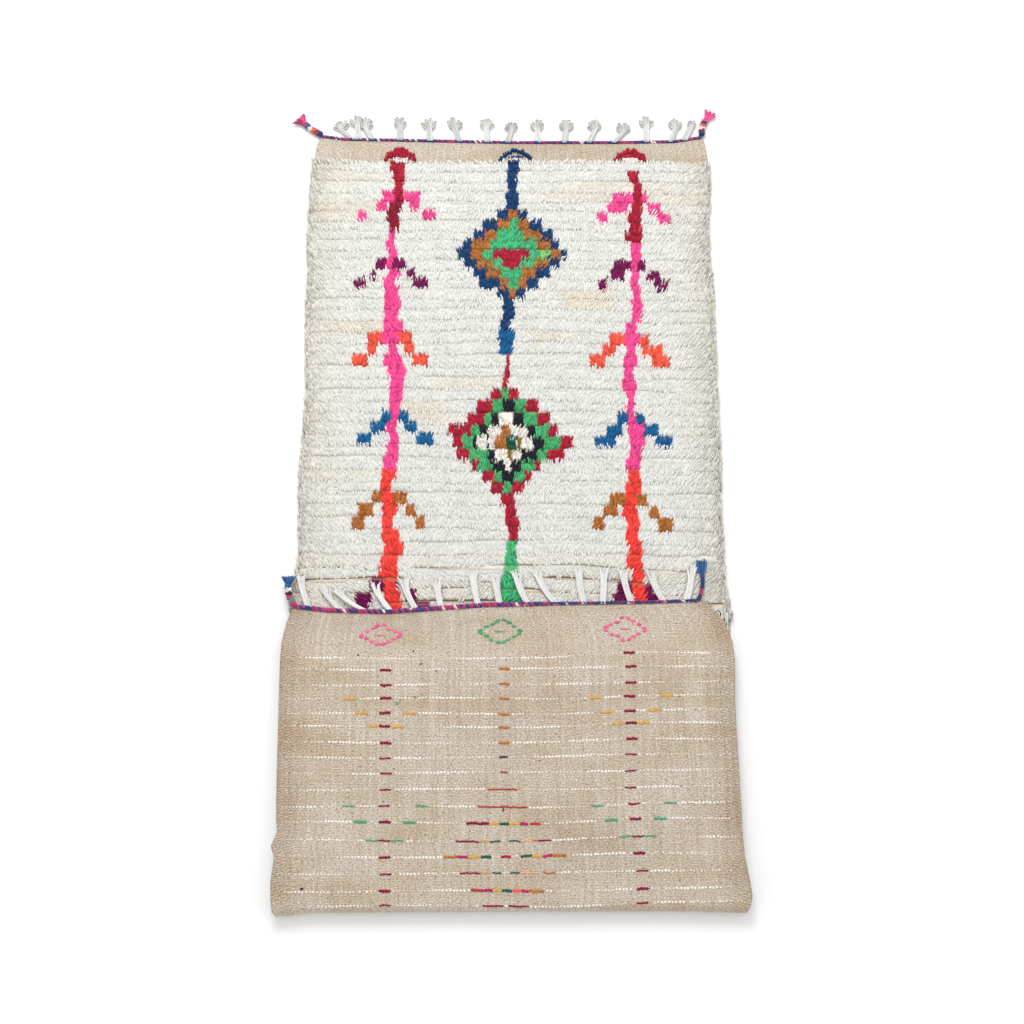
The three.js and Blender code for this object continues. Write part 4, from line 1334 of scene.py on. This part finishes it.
# Each drawing: where the arch's band starts, then the half width, foot and head of the dyed bar
DRAWINGS = {"full": (0.8, 22, 6, 99), "bar": (0.8, 15, 4, 10), "arc": (0.74, 20, 5, 99)}
CROWN_FOOT = 761
CROWN_WIDE = 34
CROWN_TALL = 29
TUFT_PITCH = 2.7
ROUNDNESS = 1.5


def crown(middle, name, kind):
    """Short tufts on a grid; how far each lies from the crown's middle picks its dye."""
    across = np.arange(-CROWN_WIDE, CROWN_WIDE + 1, TUFT_PITCH)
    along = np.arange(-5, CROWN_TALL + 1, TUFT_PITCH)
    dx, dy = (grid.ravel() for grid in np.meshgrid(across, along))
    dx = dx + chance.uniform(-1, 1, len(dx))
    dy = dy + chance.uniform(-1, 1, len(dy))
    ragged = 1 + 0.06 * np.sin(9 * np.arctan2(dy, dx) + middle)
    out = np.abs(dx / CROWN_WIDE) ** ROUNDNESS + np.clip(dy / CROWN_TALL, 0, 2) ** ROUNDNESS
    out = out ** (1 / ROUNDNESS) * ragged
    band, half_bar, foot, head = DRAWINGS[kind]
    in_bar = (np.abs(dx) < half_bar) & (dy > foot) & (dy < head)
    dyed = (out < 1) & (dy > 0) & ((out > band) | in_bar)
    if kind == "arc":
        dyed &= ~((out > 0.5) & (out < 0.62) & (dy > 12))
    pale = (np.abs(dx) < 15) & (dy < 5) & ~dyed
    dyes = np.where(dyed[:, None], DYES[name], DYES["cream"]) * chance.uniform(0.75, 1.1, (len(dx), 1))
    kept = dyed | pale
    dx, dy, dyes = dx[kept], dy[kept], dyes[kept]
    count = len(dx)
    high = chance.uniform(3.0, 4.2, count)
    reach = chance.uniform(3, 6, count)
    aside = chance.normal(0, 1.2, count)
    thick = np.full(count, 1.7)
    return stand_up(middle + dx, FAR_END - CROWN_FOOT - dy, high, reach, aside, thick, dyes)


crowns = add_piece("band_crowns", [crown(*c) for c in CROWNS], pile_wool, "folded_rug")

# %% [markdown]
# On the back of the flap each knot shows as a small pale dash where its yarn wraps two warps. The
# dashes are flattened beads, laid in rows on the cloth, and the coloured ones repeat the pattern
# of the pile inside.

# %% The back's chart
# y of each row
KNOT_ROWS = np.array([-288, -309, -337, -362, -389, -412, -440, -466, -493, -522, -551, -578, -608,
                      -635, -663, -692, -716.0])
# Row, left and right edge and dye of each stretch of the middle figure
BACK_FIGURE = [
    (1, -22, -5, "tan"), (2, -22, -5, "tan"), (3, -22, -5, "tan"), (4, -22, -5, "tan"),
    (5, -22, -5, "tan"), (6, -22, -5, "tan"), (7, -22, -7, "black"), (8, -20, -8, "rust"),
    (9, -41, 9, "rust"), (10, -58, 26, "rust"),
    (11, -77, -38, "maroon"), (11, -38, -21, "amber"), (11, -21, -5, "deep_green"),
    (11, -5, 14, "amber"), (11, 14, 27, "magenta"), (11, 31, 48, "rust"),
    (12, -95, -56, "maroon"), (12, -56, -37, "amber"), (12, -37, -20, "deep_green"),
    (12, -5, 15, "deep_green"), (12, 15, 34, "peach"), (12, 34, 44, "tan"), (12, 44, 66, "maroon"),
    (13, -114, -93, "tan"), (13, -93, -74, "magenta"), (13, -74, -52, "amber"),
    (13, -52, -35, "deep_green"), (13, -18, -2, "crimson"), (13, 15, 34, "deep_green"),
    (13, 34, 52, "amber"), (13, 52, 68, "magenta"), (13, 68, 91, "tan"),
    (14, -87, -53, "maroon"), (14, -53, -35, "amber"), (14, -33, -18, "deep_green"),
    (14, -3, 13, "deep_green"), (14, 15, 43, "peach"), (14, 53, 72, "tan"),
    (15, -68, -51, "rust"), (15, -51, -32, "magenta"), (15, -32, -17, "amber"),
    (15, -17, 0, "deep_green"), (15, 1, 15, "orange"), (15, 16, 28, "magenta"),
    (15, 28, 53, "tan"), (16, -49, -14, "maroon"), (16, -5, 28, "maroon"),
]
# Each side stem: rows, and its middle there
BACK_STEMS = [[(1, -221), (16, -212)], [(0, 208), (9, 204), (12, 212), (14, 219), (16, 215)]]
# Branches run in over three rows: first row and dye; one dash of them is missing
BACK_VEES = [(3, "amber"), (10, "leaf")]
MISSING_DASH = (3, 1, -221)
# Stray bits of yarn on the back: middle x and y, half length, half width and dye
STRAY_BITS = [
    (-200, -371, 3.4, 3.0, "leaf"), (-171, -359, 6.0, 1.8, "olive"), (-271, -282, 2.6, 1.6, "black"),
    (-174, -275, 1.8, 2.2, "black"), (-160, -299, 1.5, 3.0, "black"), (-133, -312, 1.8, 1.6, "black"),
    (-350, -688, 4.0, 2.0, "black"), (-216, -643, 7.0, 1.2, "amber"), (-15, -556, 1.4, 4.5, "black"),
]
# Middle x and y, width, length and dye of the dashed lozenges on the flap's band
SMALL_LOZENGES = [(-233, -244, 76, 42, "rose"), (-21, -237, 78, 48, "leaf"),
                  (201, -232, 76, 47, "rose")]
print(len(KNOT_ROWS), "rows on the back, and", len(BACK_FIGURE), "stretches of the middle figure")

# %% [markdown]
# One bead, made with bmesh, serves for all the knots. It is stretched, turned and set down at each
# place at once with numpy, at the height that the cloth has there.

# %% Lay beads on the cloth


def bead_pattern():
    """One flattened bead, a unit in each half length, as the yarn arrays are."""
    shape = bmesh.new()
    bmesh.ops.create_uvsphere(shape, u_segments=6, v_segments=3, radius=1)
    shape.verts.index_update()
    places = np.array([v.co for v in shape.verts])
    corners, starts, flat_map = [], [], []
    for face in shape.faces:
        starts.append(len(corners))
        for loop in face.loops:
            corners.append(loop.vert.index)
            upper = 0.5 + 0.24 * loop.vert.co.y if face.normal.z >= 0 else 0.5
            flat_map.append((0.5 + 0.48 * loop.vert.co.x, upper))
    shape.free()
    return {"places": places, "corners": np.array(corners), "starts": np.array(starts),
            "map": np.array(flat_map), "rings": 2}


def lay_beads(x, y, long, wide, tall, turn, dyes):
    """Beads on the flap's back, each with its own length and turn."""
    pattern = bead_pattern()
    z = cloth_at(FLAP_START + y - FOLD_CENTRE)[1] + ripple_at(x, y)
    shape = pattern["places"][None]
    ahead = shape[..., 0] * long[:, None]
    over = shape[..., 1] * wide[:, None]
    cos, sin = np.cos(turn)[:, None], np.sin(turn)[:, None]
    places = np.stack([x[:, None] + ahead * cos - over * sin, y[:, None] + ahead * sin + over * cos,
                       z[:, None] + 0.1 + shape[..., 2] * tall[:, None]], axis=-1)
    return {"yarn": pattern, "places": places, "dyes": np.repeat(dyes[:, None], places.shape[1], 1)}


print("a bead has", len(bead_pattern()["starts"]), "faces")

# %% [markdown]
# The coloured stretches of a row come from three places: the middle figure, the two side stems,
# and the branches, which run in towards their stem over three rows and so look like a V.

# %% Coloured stretches of a row
STEM_DASH = 9.5
VEE_DASH = 10.5
VEE_REACH = 62
VEE_STEP = 20.5


def coloured_stretches(row):
    """Left edge, right edge and dye of each coloured stretch in one row."""
    stretches = [(a, b, name) for r, a, b, name in BACK_FIGURE if r == row]
    for stem in BACK_STEMS:
        if row >= stem[0][0]:
            middle = table(stem, row) + chance.uniform(-2, 2)
            stretches.append((middle - STEM_DASH, middle + STEM_DASH, "maroon"))
    for start, name in BACK_VEES:
        for stem in BACK_STEMS:
            for side in (-1, 1):
                missing = (row, side, stem[0][1]) == MISSING_DASH
                if start <= row <= start + 2 and not missing:
                    middle = table(stem, row) + side * (VEE_REACH - VEE_STEP * (row - start))
                    stretches.append((middle - VEE_DASH, middle + VEE_DASH, name))
    return stretches


print("a branch steps", VEE_STEP, "mm a row")

# %% [markdown]
# Pale dashes fill what the coloured stretches leave. They come and go along the row, as the wool
# of the pile shows more or less through the weave, and a few rows are thinner than the others.

# %% Rows of knots on the back
KNOT_PITCH = 6.0
COLOURED_PITCH = 5.2
ROW_INSET = 14
THIN_ROWS = (7, 8, 9, 10, 12, 14, 16)
THIN_BEAD = 0.5
FULL_BEAD = 0.85


def back_row(row):
    """One row of knots on the back: pale dashes, then the coloured ones over them."""
    y_row = KNOT_ROWS[row]
    left, right = (float(np.interp(y_row, FLAP_RIMS[:, 0], FLAP_RIMS[:, side])) for side in (1, 2))
    x = np.arange(left + ROW_INSET, right - ROW_INSET, KNOT_PITCH)
    x = x + chance.uniform(-0.7, 0.7, len(x))
    waves = 0.6 * np.sin(x / 75 + row * 1.9) * np.sin(x / 31 + row * 0.7)
    bold = 0.62 + waves + chance.normal(0, 0.12, len(x))
    bold = np.clip(bold * smooth(-400, -330, x) * (1 - smooth(330, 390, x)), 0, 1)[:, None]
    dyes = DYES["sand"] * 0.9 * (1 - bold) + DYES["cream"] * 1.04 * bold
    long = 1.9 + 0.9 * bold[:, 0] + chance.uniform(-0.2, 0.3, len(x))
    keep = chance.uniform(0, 1, len(x)) > 0.25 - 0.25 * bold[:, 0]
    coloured = coloured_stretches(row)
    for a, b, _ in coloured:
        keep &= (x < a - 3) | (x > b + 3)
    x, dyes, long = x[keep], dyes[keep], long[keep]
    wide = 1.7 + 0.8 * bold[keep, 0] + chance.uniform(-0.3, 0.3, len(x))
    tall = chance.uniform(0.7, 1.0, len(x))
    thin = THIN_BEAD if row in THIN_ROWS else FULL_BEAD
    for a, b, name in coloured:
        count = max(2, round((b - a) / COLOURED_PITCH))
        edges = np.linspace(a, b, count + 1)
        x = np.concatenate([x, (edges[1:] + edges[:-1]) / 2])
        dyes = np.concatenate([dyes, DYES[name] * chance.uniform(0.9, 1.1, (count, 1))])
        long = np.concatenate([long, np.full(count, (b - a) / count * 0.78)])
        wide = np.concatenate([wide, thin * chance.uniform(3.3, 4.3, count)])
        tall = np.concatenate([tall, chance.uniform(0.9, 1.2, count)])
    lifted = (6.5 if row else 11) * smooth(40, 260, x)
    y = y_row + lifted + 1.5 * np.sin(x / 90 + row) + chance.normal(0, 0.4, len(x))
    return lay_beads(x, y, long, wide, tall, chance.normal(0, 0.12, len(x)), dyes)


bead_batches = [back_row(row) for row in range(len(KNOT_ROWS))]
print("the first row has", len(bead_batches[0]["places"]), "beads")

# %% [markdown]
# On the flap's band the weaver sewed three small lozenges in running stitch, and a few stray bits
# of yarn cling to the cloth. They are beads too, so they join the knots in one piece.

# %% Small lozenges and stray bits
STITCHES = (0.13, 0.38, 0.63, 0.88)
BIT_TALL = 0.9


def small_lozenge(middle_x, middle_y, width, length, name):
    """A lozenge of slanting dashes, and one dash in its middle."""
    x, y, turn = [middle_x], [middle_y], [0.0]
    slant = 0.5 * math.atan2(length, width)
    for way_x, way_y in ((-1, -1), (-1, 1), (1, -1), (1, 1)):
        for share in STITCHES:
            x.append(middle_x + way_x * width / 2 * share + chance.normal(0, 1.0))
            y.append(middle_y + way_y * length / 2 * (1 - share) + chance.normal(0, 1.0))
            turn.append(-way_x * way_y * slant + chance.normal(0, 0.15))
    count = len(x)
    dyes = DYES[name] * chance.uniform(0.8, 1.15, (count, 1))
    long = chance.uniform(5.2, 6.6, count)
    wide = chance.uniform(3.2, 4.3, count)
    tall = chance.uniform(0.8, 1.0, count)
    long[0] = 12.0
    wide[0] = 1.4
    return lay_beads(np.array(x), np.array(y), long, wide, tall, np.array(turn), dyes)


bead_batches += [small_lozenge(*lozenge) for lozenge in SMALL_LOZENGES]
bit_x, bit_y, bit_long, bit_wide = np.array([bit[:4] for bit in STRAY_BITS]).T
bit_dyes = np.array([DYES[bit[4]] for bit in STRAY_BITS])
no_turn = np.zeros(len(STRAY_BITS))
bead_batches.append(lay_beads(bit_x, bit_y, bit_long, bit_wide, no_turn + BIT_TALL, no_turn, bit_dyes))
back_knots = add_piece("back_knots", bead_batches, pile_wool, "folded_rug")

# %% [markdown]
# Both ends are finished with a twined cord: a pink and a blue yarn wind round each other along
# the edge and catch the warps. Each yarn's path is a helix along the cord's line, so bending the
# straight yarn along two helices half a turn apart gives the twined look with real geometry.

# %% The twined edge cords
CORD_TURN = 11.0
CORD_STEP = 1.6
CORD_OUT = 2.2
STRAND_THICK = 2.0
BLUER_FROM = 60
CORD_DYES = ["twine_blue", "twine_pink", "violet", "twine_pink", "magenta", "cream"]
# odd is the share of turns that a yarn of another colour shows on
CORD_LINES = {
    "far": {"run": 0, "from": -386, "to": 384, "height": 2.9, "size": 1.2, "right_size": 1.2,
            "odd": 0.35},
    "flap": {"run": WHOLE_RUN, "from": -386, "to": 332, "height": ON_PILE + 2.9, "size": 1.4,
             "right_size": 0.95, "odd": 0.55},
}
# Each far tassel: x of its root, how far it leans aside, its length and the width of its head
FAR_TASSELS = [
    (-322, -26, 46, 30), (-312, -3, 56, 30), (-283, -15, 52, 32), (-228, 0, 54, 28),
    (-167, -2, 53, 30), (-107, -9, 56, 32), (-51, -1, 56, 28), (-10, 9, 50, 26), (53, -2, 54, 30),
    (106, 4, 55, 31), (155, 14, 53, 29), (207, 20, 47, 29), (272, 2, 60, 28), (321, 12, 54, 29),
    (350, 16, 46, 15),
]
FAR_ROOTS = np.array([tassel[0] for tassel in FAR_TASSELS])


def twined_cord(which):
    """Two helical yarns along one end of the rug."""
    line = CORD_LINES[which]
    x = np.arange(line["from"], line["to"], CORD_STEP)
    edge = cloth_at(line["run"])[0] + stray_at(np.full(len(x), line["run"]), x)
    phase = x / CORD_TURN * 2 * math.pi
    near_tassel = np.min(np.abs(x[:, None] - FAR_ROOTS), axis=1) < 9
    yarns, dyes = [], []
    size = line["size"] + (line["right_size"] - line["size"]) * smooth(10, 90, x)
    turns = np.floor(x / CORD_TURN * 1.6).astype(int)
    turns -= turns.min()
    for half, name in ((0, "twine_pink"), (math.pi, "twine_blue")):
        y = edge + CORD_OUT + 1.5 * size * np.cos(phase + half)
        z = line["height"] + 1.2 * np.sin(phase + half)
        yarns.append(np.stack([x, y, z], axis=1))
        pick = chance.integers(0, len(CORD_DYES), turns.max() + 1)[turns]
        odd_dyes = np.array([DYES[dye_name] for dye_name in CORD_DYES])[pick]
        odd = chance.uniform(0, 1, turns.max() + 1)[turns] < line["odd"]
        bluer = (which == "flap") & (x > BLUER_FROM)
        plain = np.where(bluer[:, None], DYES["twine_blue"], DYES[name])
        tint = np.where(odd[:, None], odd_dyes, plain)
        if which == "far":
            tint = np.where(near_tassel[:, None], DYES["twine_blue"], tint)
        dyes.append(tint)
    shades = np.array(dyes) * chance.uniform(0.85, 1.12, (2, len(x), 1))
    return bend(np.array(yarns), (STRAND_THICK * size)[None], shades, sides=6)


print("cords turn every", CORD_TURN, "mm")

# %% [markdown]
# The warps that stick out at the far end are tied into tassels of loops: a short stem, then a
# round fan of loops. Each loop runs up, turns at its tip and runs back, so its path is a narrow
# hairpin. They lie on the floor.

# %% Far tassels
LOOPS = 7
LOOP_RINGS = 30
LOOP_YARN = 1.4
HEAD_SHARE = 0.46
FAN_ANGLE = 96
# Height of a loop along its hairpin, as a share of how far it bulges
LOOP_RISE = np.array([0.6, 0.8, 0.8, 0.5, 0.1, 0, 0, 0, 0.2, 0.6, 1.0, 1.0, 0.8])


def far_tassel(x, lean, long, head):
    """A stem and a round fan of loops, as hairpin paths on the floor."""
    root = np.array([x, FAR_END + float(stray_at(0, x)) + 3])
    radius = head * HEAD_SHARE
    fan = root + (lean, long - radius)
    paths = []
    for k in range(LOOPS):
        share = k / (LOOPS - 1) * 2 - 1
        angle = math.radians(FAN_ANGLE * share + chance.uniform(-14, 14))
        out = np.array([math.sin(angle), math.cos(angle)])
        neck = fan + (share * 3.4, -radius * 0.75)
        tip = fan + out * radius * chance.uniform(0.85, 1.2)
        along = (tip - neck) / np.linalg.norm(tip - neck)
        across = np.array([along[1], -along[0]])
        wide = chance.uniform(2.1, 2.9)
        low = chance.uniform(1.6, 4.6)
        foot = root + (share * 4.6, -2)
        hairpin = [foot - (0.8, 0), (foot + neck) / 2 - (1.0, 0), neck - across * 1.0,
                   (neck + tip) / 2 - across * wide, tip - along * 4 - across * wide,
                   tip - along * 1 - across * wide * 0.65, tip, tip - along * 1 + across * wide * 0.65,
                   tip - along * 4 + across * wide, (neck + tip) / 2 + across * wide,
                   neck + across * 1.0, (foot + neck) / 2 + (1.0, 0), foot + (0.8, 0)]
        flat = np.array(hairpin)
        height = low + LOOP_RISE * 1.5
        at = np.linspace(0, len(flat) - 1, LOOP_RINGS)
        knots = np.arange(len(flat))
        paths.append(np.stack([np.interp(at, knots, flat[:, 0]), np.interp(at, knots, flat[:, 1]),
                               np.interp(at, knots, height)], axis=1))
    dyes = DYES["grey_white"] * chance.uniform(0.7, 0.94, (LOOPS, 1, 1))
    return bend(np.array(paths), LOOP_YARN, dyes, sides=5)


far_batches = [twined_cord("far")] + [far_tassel(*tassel) for tassel in FAR_TASSELS]
far_fringe = add_piece("far_tassels_and_cord", far_batches, twisted_yarn, "far_fringe")

# %% [markdown]
# At the folded end the warps are cut, so its tassels are loose strands that lie on the pile. Each
# strand swings aside in a slow curve, and the strands of a tassel spread only near their tips.

# %% Flap tassels
# Each flap tassel: x of its root, how far it swings aside, its reach and its spread at the tip
FLAP_TASSELS = [
    (-362, -18, 66, 7), (-304, -34, 50, 8), (-257, -58, 46, 16), (-214, -33, 58, 11),
    (-170, -25, 64, 12), (-126, -9, 56, 9), (-60, -11, 70, 11), (-21, -9, 60, 9),
    (30, -23, 66, 10), (80, -37, 72, 11), (128, -9, 74, 10), (162, 4, 72, 10), (214, -14, 68, 10),
    (273, -23, 64, 11), (312, 14, 74, 8),
]
FLAP_STRANDS = 6
STRAND_RINGS = 18


def flap_tassel(x, side, reach, spread):
    """Loose cut strands that lie on the pile."""
    root = np.array([x, FLAP_END + float(stray_at(WHOLE_RUN, x)) + 2])
    share = np.linspace(0, 1, STRAND_RINGS)
    paths = []
    for k in range(FLAP_STRANDS):
        place = k / (FLAP_STRANDS - 1) * 2 - 1
        length = chance.uniform(0.88, 1.03)
        wave = chance.uniform(0.4, 1.6) * np.sin(share * chance.uniform(5, 9) + chance.uniform(0, 6))
        swing = side * length * (1 - (1 - share) ** 1.7)
        px = root[0] + place * 4.0 + swing + place * spread * 0.6 * share ** 6 + wave * share ** 2
        py = root[1] + reach * length * (share - 0.03)
        pz = ON_PILE + 1.5 + chance.uniform(0, 2.6) * (1 - 0.6 * share)
        paths.append(np.stack([px, py, np.broadcast_to(pz, px.shape)], axis=1))
    dyes = DYES["grey_white"] * chance.uniform(0.9, 1.08, (FLAP_STRANDS, 1, 1))
    taper = 1.9 - 0.7 * smooth(0.85, 1, share)
    return bend(np.array(paths), taper[None, :], dyes, sides=5)


flap_batches = [twined_cord("flap")] + [flap_tassel(*tassel) for tassel in FLAP_TASSELS]
flap_fringe = add_piece("flap_tassels_and_cord", flap_batches, twisted_yarn, "flap_fringe")

# %% [markdown]
# The outermost warps of each corner are plaited into a short braid with coloured yarns and end in
# a small tuft. No two corners are alike, so each has a plan of its own.

# %% Plans of the corner braids
# For each braid: three points that it runs through, its height, the thickness of its yarns, the
# dyes of its bands from root to tip, and the length, spread and dyes of its tuft
BRAIDS = {
    "far_left_braid": {
        "route": [(-387.5, 825.8), (-405, 837), (-424, 853)], "height": 5.9, "thick": 3.4,
        "spread": 2.8, "tuft": 23, "bands": ["twine_blue", "rust", "orange", "cream", "blue", "twine_pink"],
        "tuft_dyes": ["pink", "twine_pink", "magenta"],
    },
    "far_right_braid": {
        "route": [(386.9, 824.2), (387, 841), (396, 862)], "height": 5.9, "thick": 3.4,
        "spread": 2.6, "tuft": 28, "bands": ["navy", "maroon", "cream", "orange", "navy", "pink"],
        "tuft_dyes": ["pink", "twine_pink", "pink"],
    },
    "flap_left_braid": {
        "route": [(-388.5, -187.9), (-397, -174), (-402, -150)], "height": ON_PILE + 4.9, "thick": 3.4,
        "spread": 2.2, "tuft": 21, "bands": ["twine_pink", "leaf", "twine_pink", "black", "cream", "blue"],
        "tuft_dyes": ["blue", "twine_blue", "blue"],
    },
    "flap_right_braid": {
        "route": [(333, -178), (340, -160), (343, -134)], "height": ON_PILE + 3.4, "thick": 2.0,
        "spread": 1.7, "tuft": 38, "bands": ["navy", "twine_pink", "navy", "twine_blue"],
        "tuft_dyes": ["blue", "blue", "twine_blue"],
    },
}
print(len(BRAIDS), "braids are planned")

# %% [markdown]
# Three yarns weave past each other: each swings from side to side once a turn and up and down
# twice, a third of a turn behind the last. A tuft is a brush of ends that fans out from the tip.

# %% Corner braids
BRAID_RINGS = 36
BRAID_TURN = 15.0
TUFT_ENDS = 34
TUFT_THICK = np.array([1.7, 1.8, 1.9, 1.9, 1.7, 1.0])


def corner_braid(name):
    """Three plaited yarns along a route on the floor or the pile, and a tuft at the end."""
    plan = BRAIDS[name]
    route = np.array(plan["route"], float)
    lengths = np.concatenate([[0], np.cumsum(np.linalg.norm(np.diff(route, axis=0), axis=1))])
    at = np.linspace(0, lengths[-1], BRAID_RINGS)
    bent = np.polyfit(lengths, route, 2)
    line = bent[0] * at[:, None] ** 2 + bent[1] * at[:, None] + bent[2]
    ahead = unit(np.gradient(line, axis=0))
    across = np.stack([ahead[:, 1], -ahead[:, 0]], axis=1)
    thick = plan["thick"]
    swing = thick * 1.05
    paths = []
    for k in range(3):
        phase = at / BRAID_TURN * 2 * math.pi + k * 2 * math.pi / 3
        flat_place = line + across * (swing * np.sin(phase))[:, None]
        high = plan["height"] - 0.6 + thick * 0.55 * np.sin(2 * phase)
        paths.append(np.column_stack([flat_place, high]))
    band = np.minimum((at / at[-1] * len(plan["bands"])).astype(int), len(plan["bands"]) - 1)
    tints = np.array([DYES[plan["bands"][b]] for b in band])
    shades = tints[None] * chance.uniform(0.85, 1.15, (3, 1, 1))
    plait = bend(np.array(paths), thick, shades, sides=6)
    return [plait, tuft(line[-1], ahead[-1], plan)]


def tuft(start, ahead, plan):
    """A brush of short ends."""
    across = np.array([ahead[1], -ahead[0]])
    share = np.linspace(0, 1, len(TUFT_THICK))
    place = chance.uniform(-1, 1, TUFT_ENDS)
    rise = chance.uniform(-1, 1, TUFT_ENDS)
    long = plan["tuft"] * chance.uniform(0.75, 1.0, TUFT_ENDS)
    flare = plan["spread"] * 5.5
    flat_place = (start - ahead * 3 + ahead * (long[:, None] * share)[..., None]
                  + across * (place[:, None] * (1.6 + flare * share ** 1.4))[..., None])
    high = plan["height"] - 1.2 + rise[:, None] * (1.2 + 1.4 * np.sin(share * 2.4))
    paths = np.concatenate([flat_place, high[..., None]], axis=2)
    names = plan["tuft_dyes"]
    tints = np.array([DYES[names[k % len(names)]] for k in range(TUFT_ENDS)])
    shades = tints[:, None] * chance.uniform(0.85, 1.15, (TUFT_ENDS, 1, 1))
    return bend(paths, TUFT_THICK[None], shades, sides=5)


braid_pieces = [add_piece(name + "_plait", corner_braid(name), twisted_yarn, name)
                for name in BRAIDS]

# %% [markdown]
# The cloth is 0.80 by 2.08 metres when laid flat, and folded. Its pile, knots and fringes belong to
# the same cloth.

print("one cloth of 0.80 by 2.08 metres")

# %% [markdown]
# The rug lies on a plain white floor, as in a product studio. The floor is a single large square,
# set a hair below zero so that it doesn't flicker through the underside of the cloth.

# %% The floor
FLOOR_HALF = 12
FLOOR_DROP = 0.0006
stage = bmesh.new()
bmesh.ops.create_grid(stage, x_segments=1, y_segments=1, size=FLOOR_HALF)
bmesh.ops.translate(stage, verts=stage.verts, vec=(0, 0, -FLOOR_DROP))
floor_mesh = bpy.data.meshes.new("studio_floor")
stage.to_mesh(floor_mesh)
stage.free()
floor_finish = bpy.data.materials.new("white_floor")
floor_finish.use_nodes = True
floor_shader = floor_finish.node_tree.nodes["Principled BSDF"]
floor_shader.inputs["Base Color"].default_value = (0.93, 0.93, 0.93, 1)
floor_shader.inputs["Roughness"].default_value = 0.8
floor_mesh.materials.append(floor_finish)
floor = bpy.data.objects.new("studio_floor", floor_mesh)
bpy.context.scene.collection.objects.link(floor)
print("floor is", 2 * FLOOR_HALF, "metres wide")

# %% [markdown]
# Soft light comes from all round. A bright, white sky does most of the work, and a large square
# lamp behind the rug gives the soft shadow in front of the fold.

# %% Sky and lamp
SKY_STRENGTH = 0.89
LAMP_WATTS = 84
sky = bpy.data.worlds.new("studio_sky")
sky.use_nodes = True
sky.node_tree.nodes["Background"].inputs["Color"].default_value = (1, 1, 1, 1)
sky.node_tree.nodes["Background"].inputs["Strength"].default_value = SKY_STRENGTH
bpy.context.scene.world = sky


def soft_lamp(name, place, aim, size, power):
    """A square lamp that points at a place."""
    data = bpy.data.lights.new(name, "AREA")
    data.size = size
    data.energy = power
    lamp = bpy.data.objects.new(name, data)
    lamp.location = place
    direction = np.array(aim) - np.array(place)
    flat_length = math.hypot(direction[0], direction[1])
    lamp.rotation_euler = (math.atan2(flat_length, -direction[2]), 0,
                           math.atan2(direction[1], direction[0]) - math.pi / 2)
    bpy.context.scene.collection.objects.link(lamp)


soft_lamp("lamp_behind", (-0.5, 2.8, 3.2), (0, -0.2, 0), 1.6, LAMP_WATTS)
bpy.context.scene.view_settings.view_transform = "Standard"
print("studio is lit")
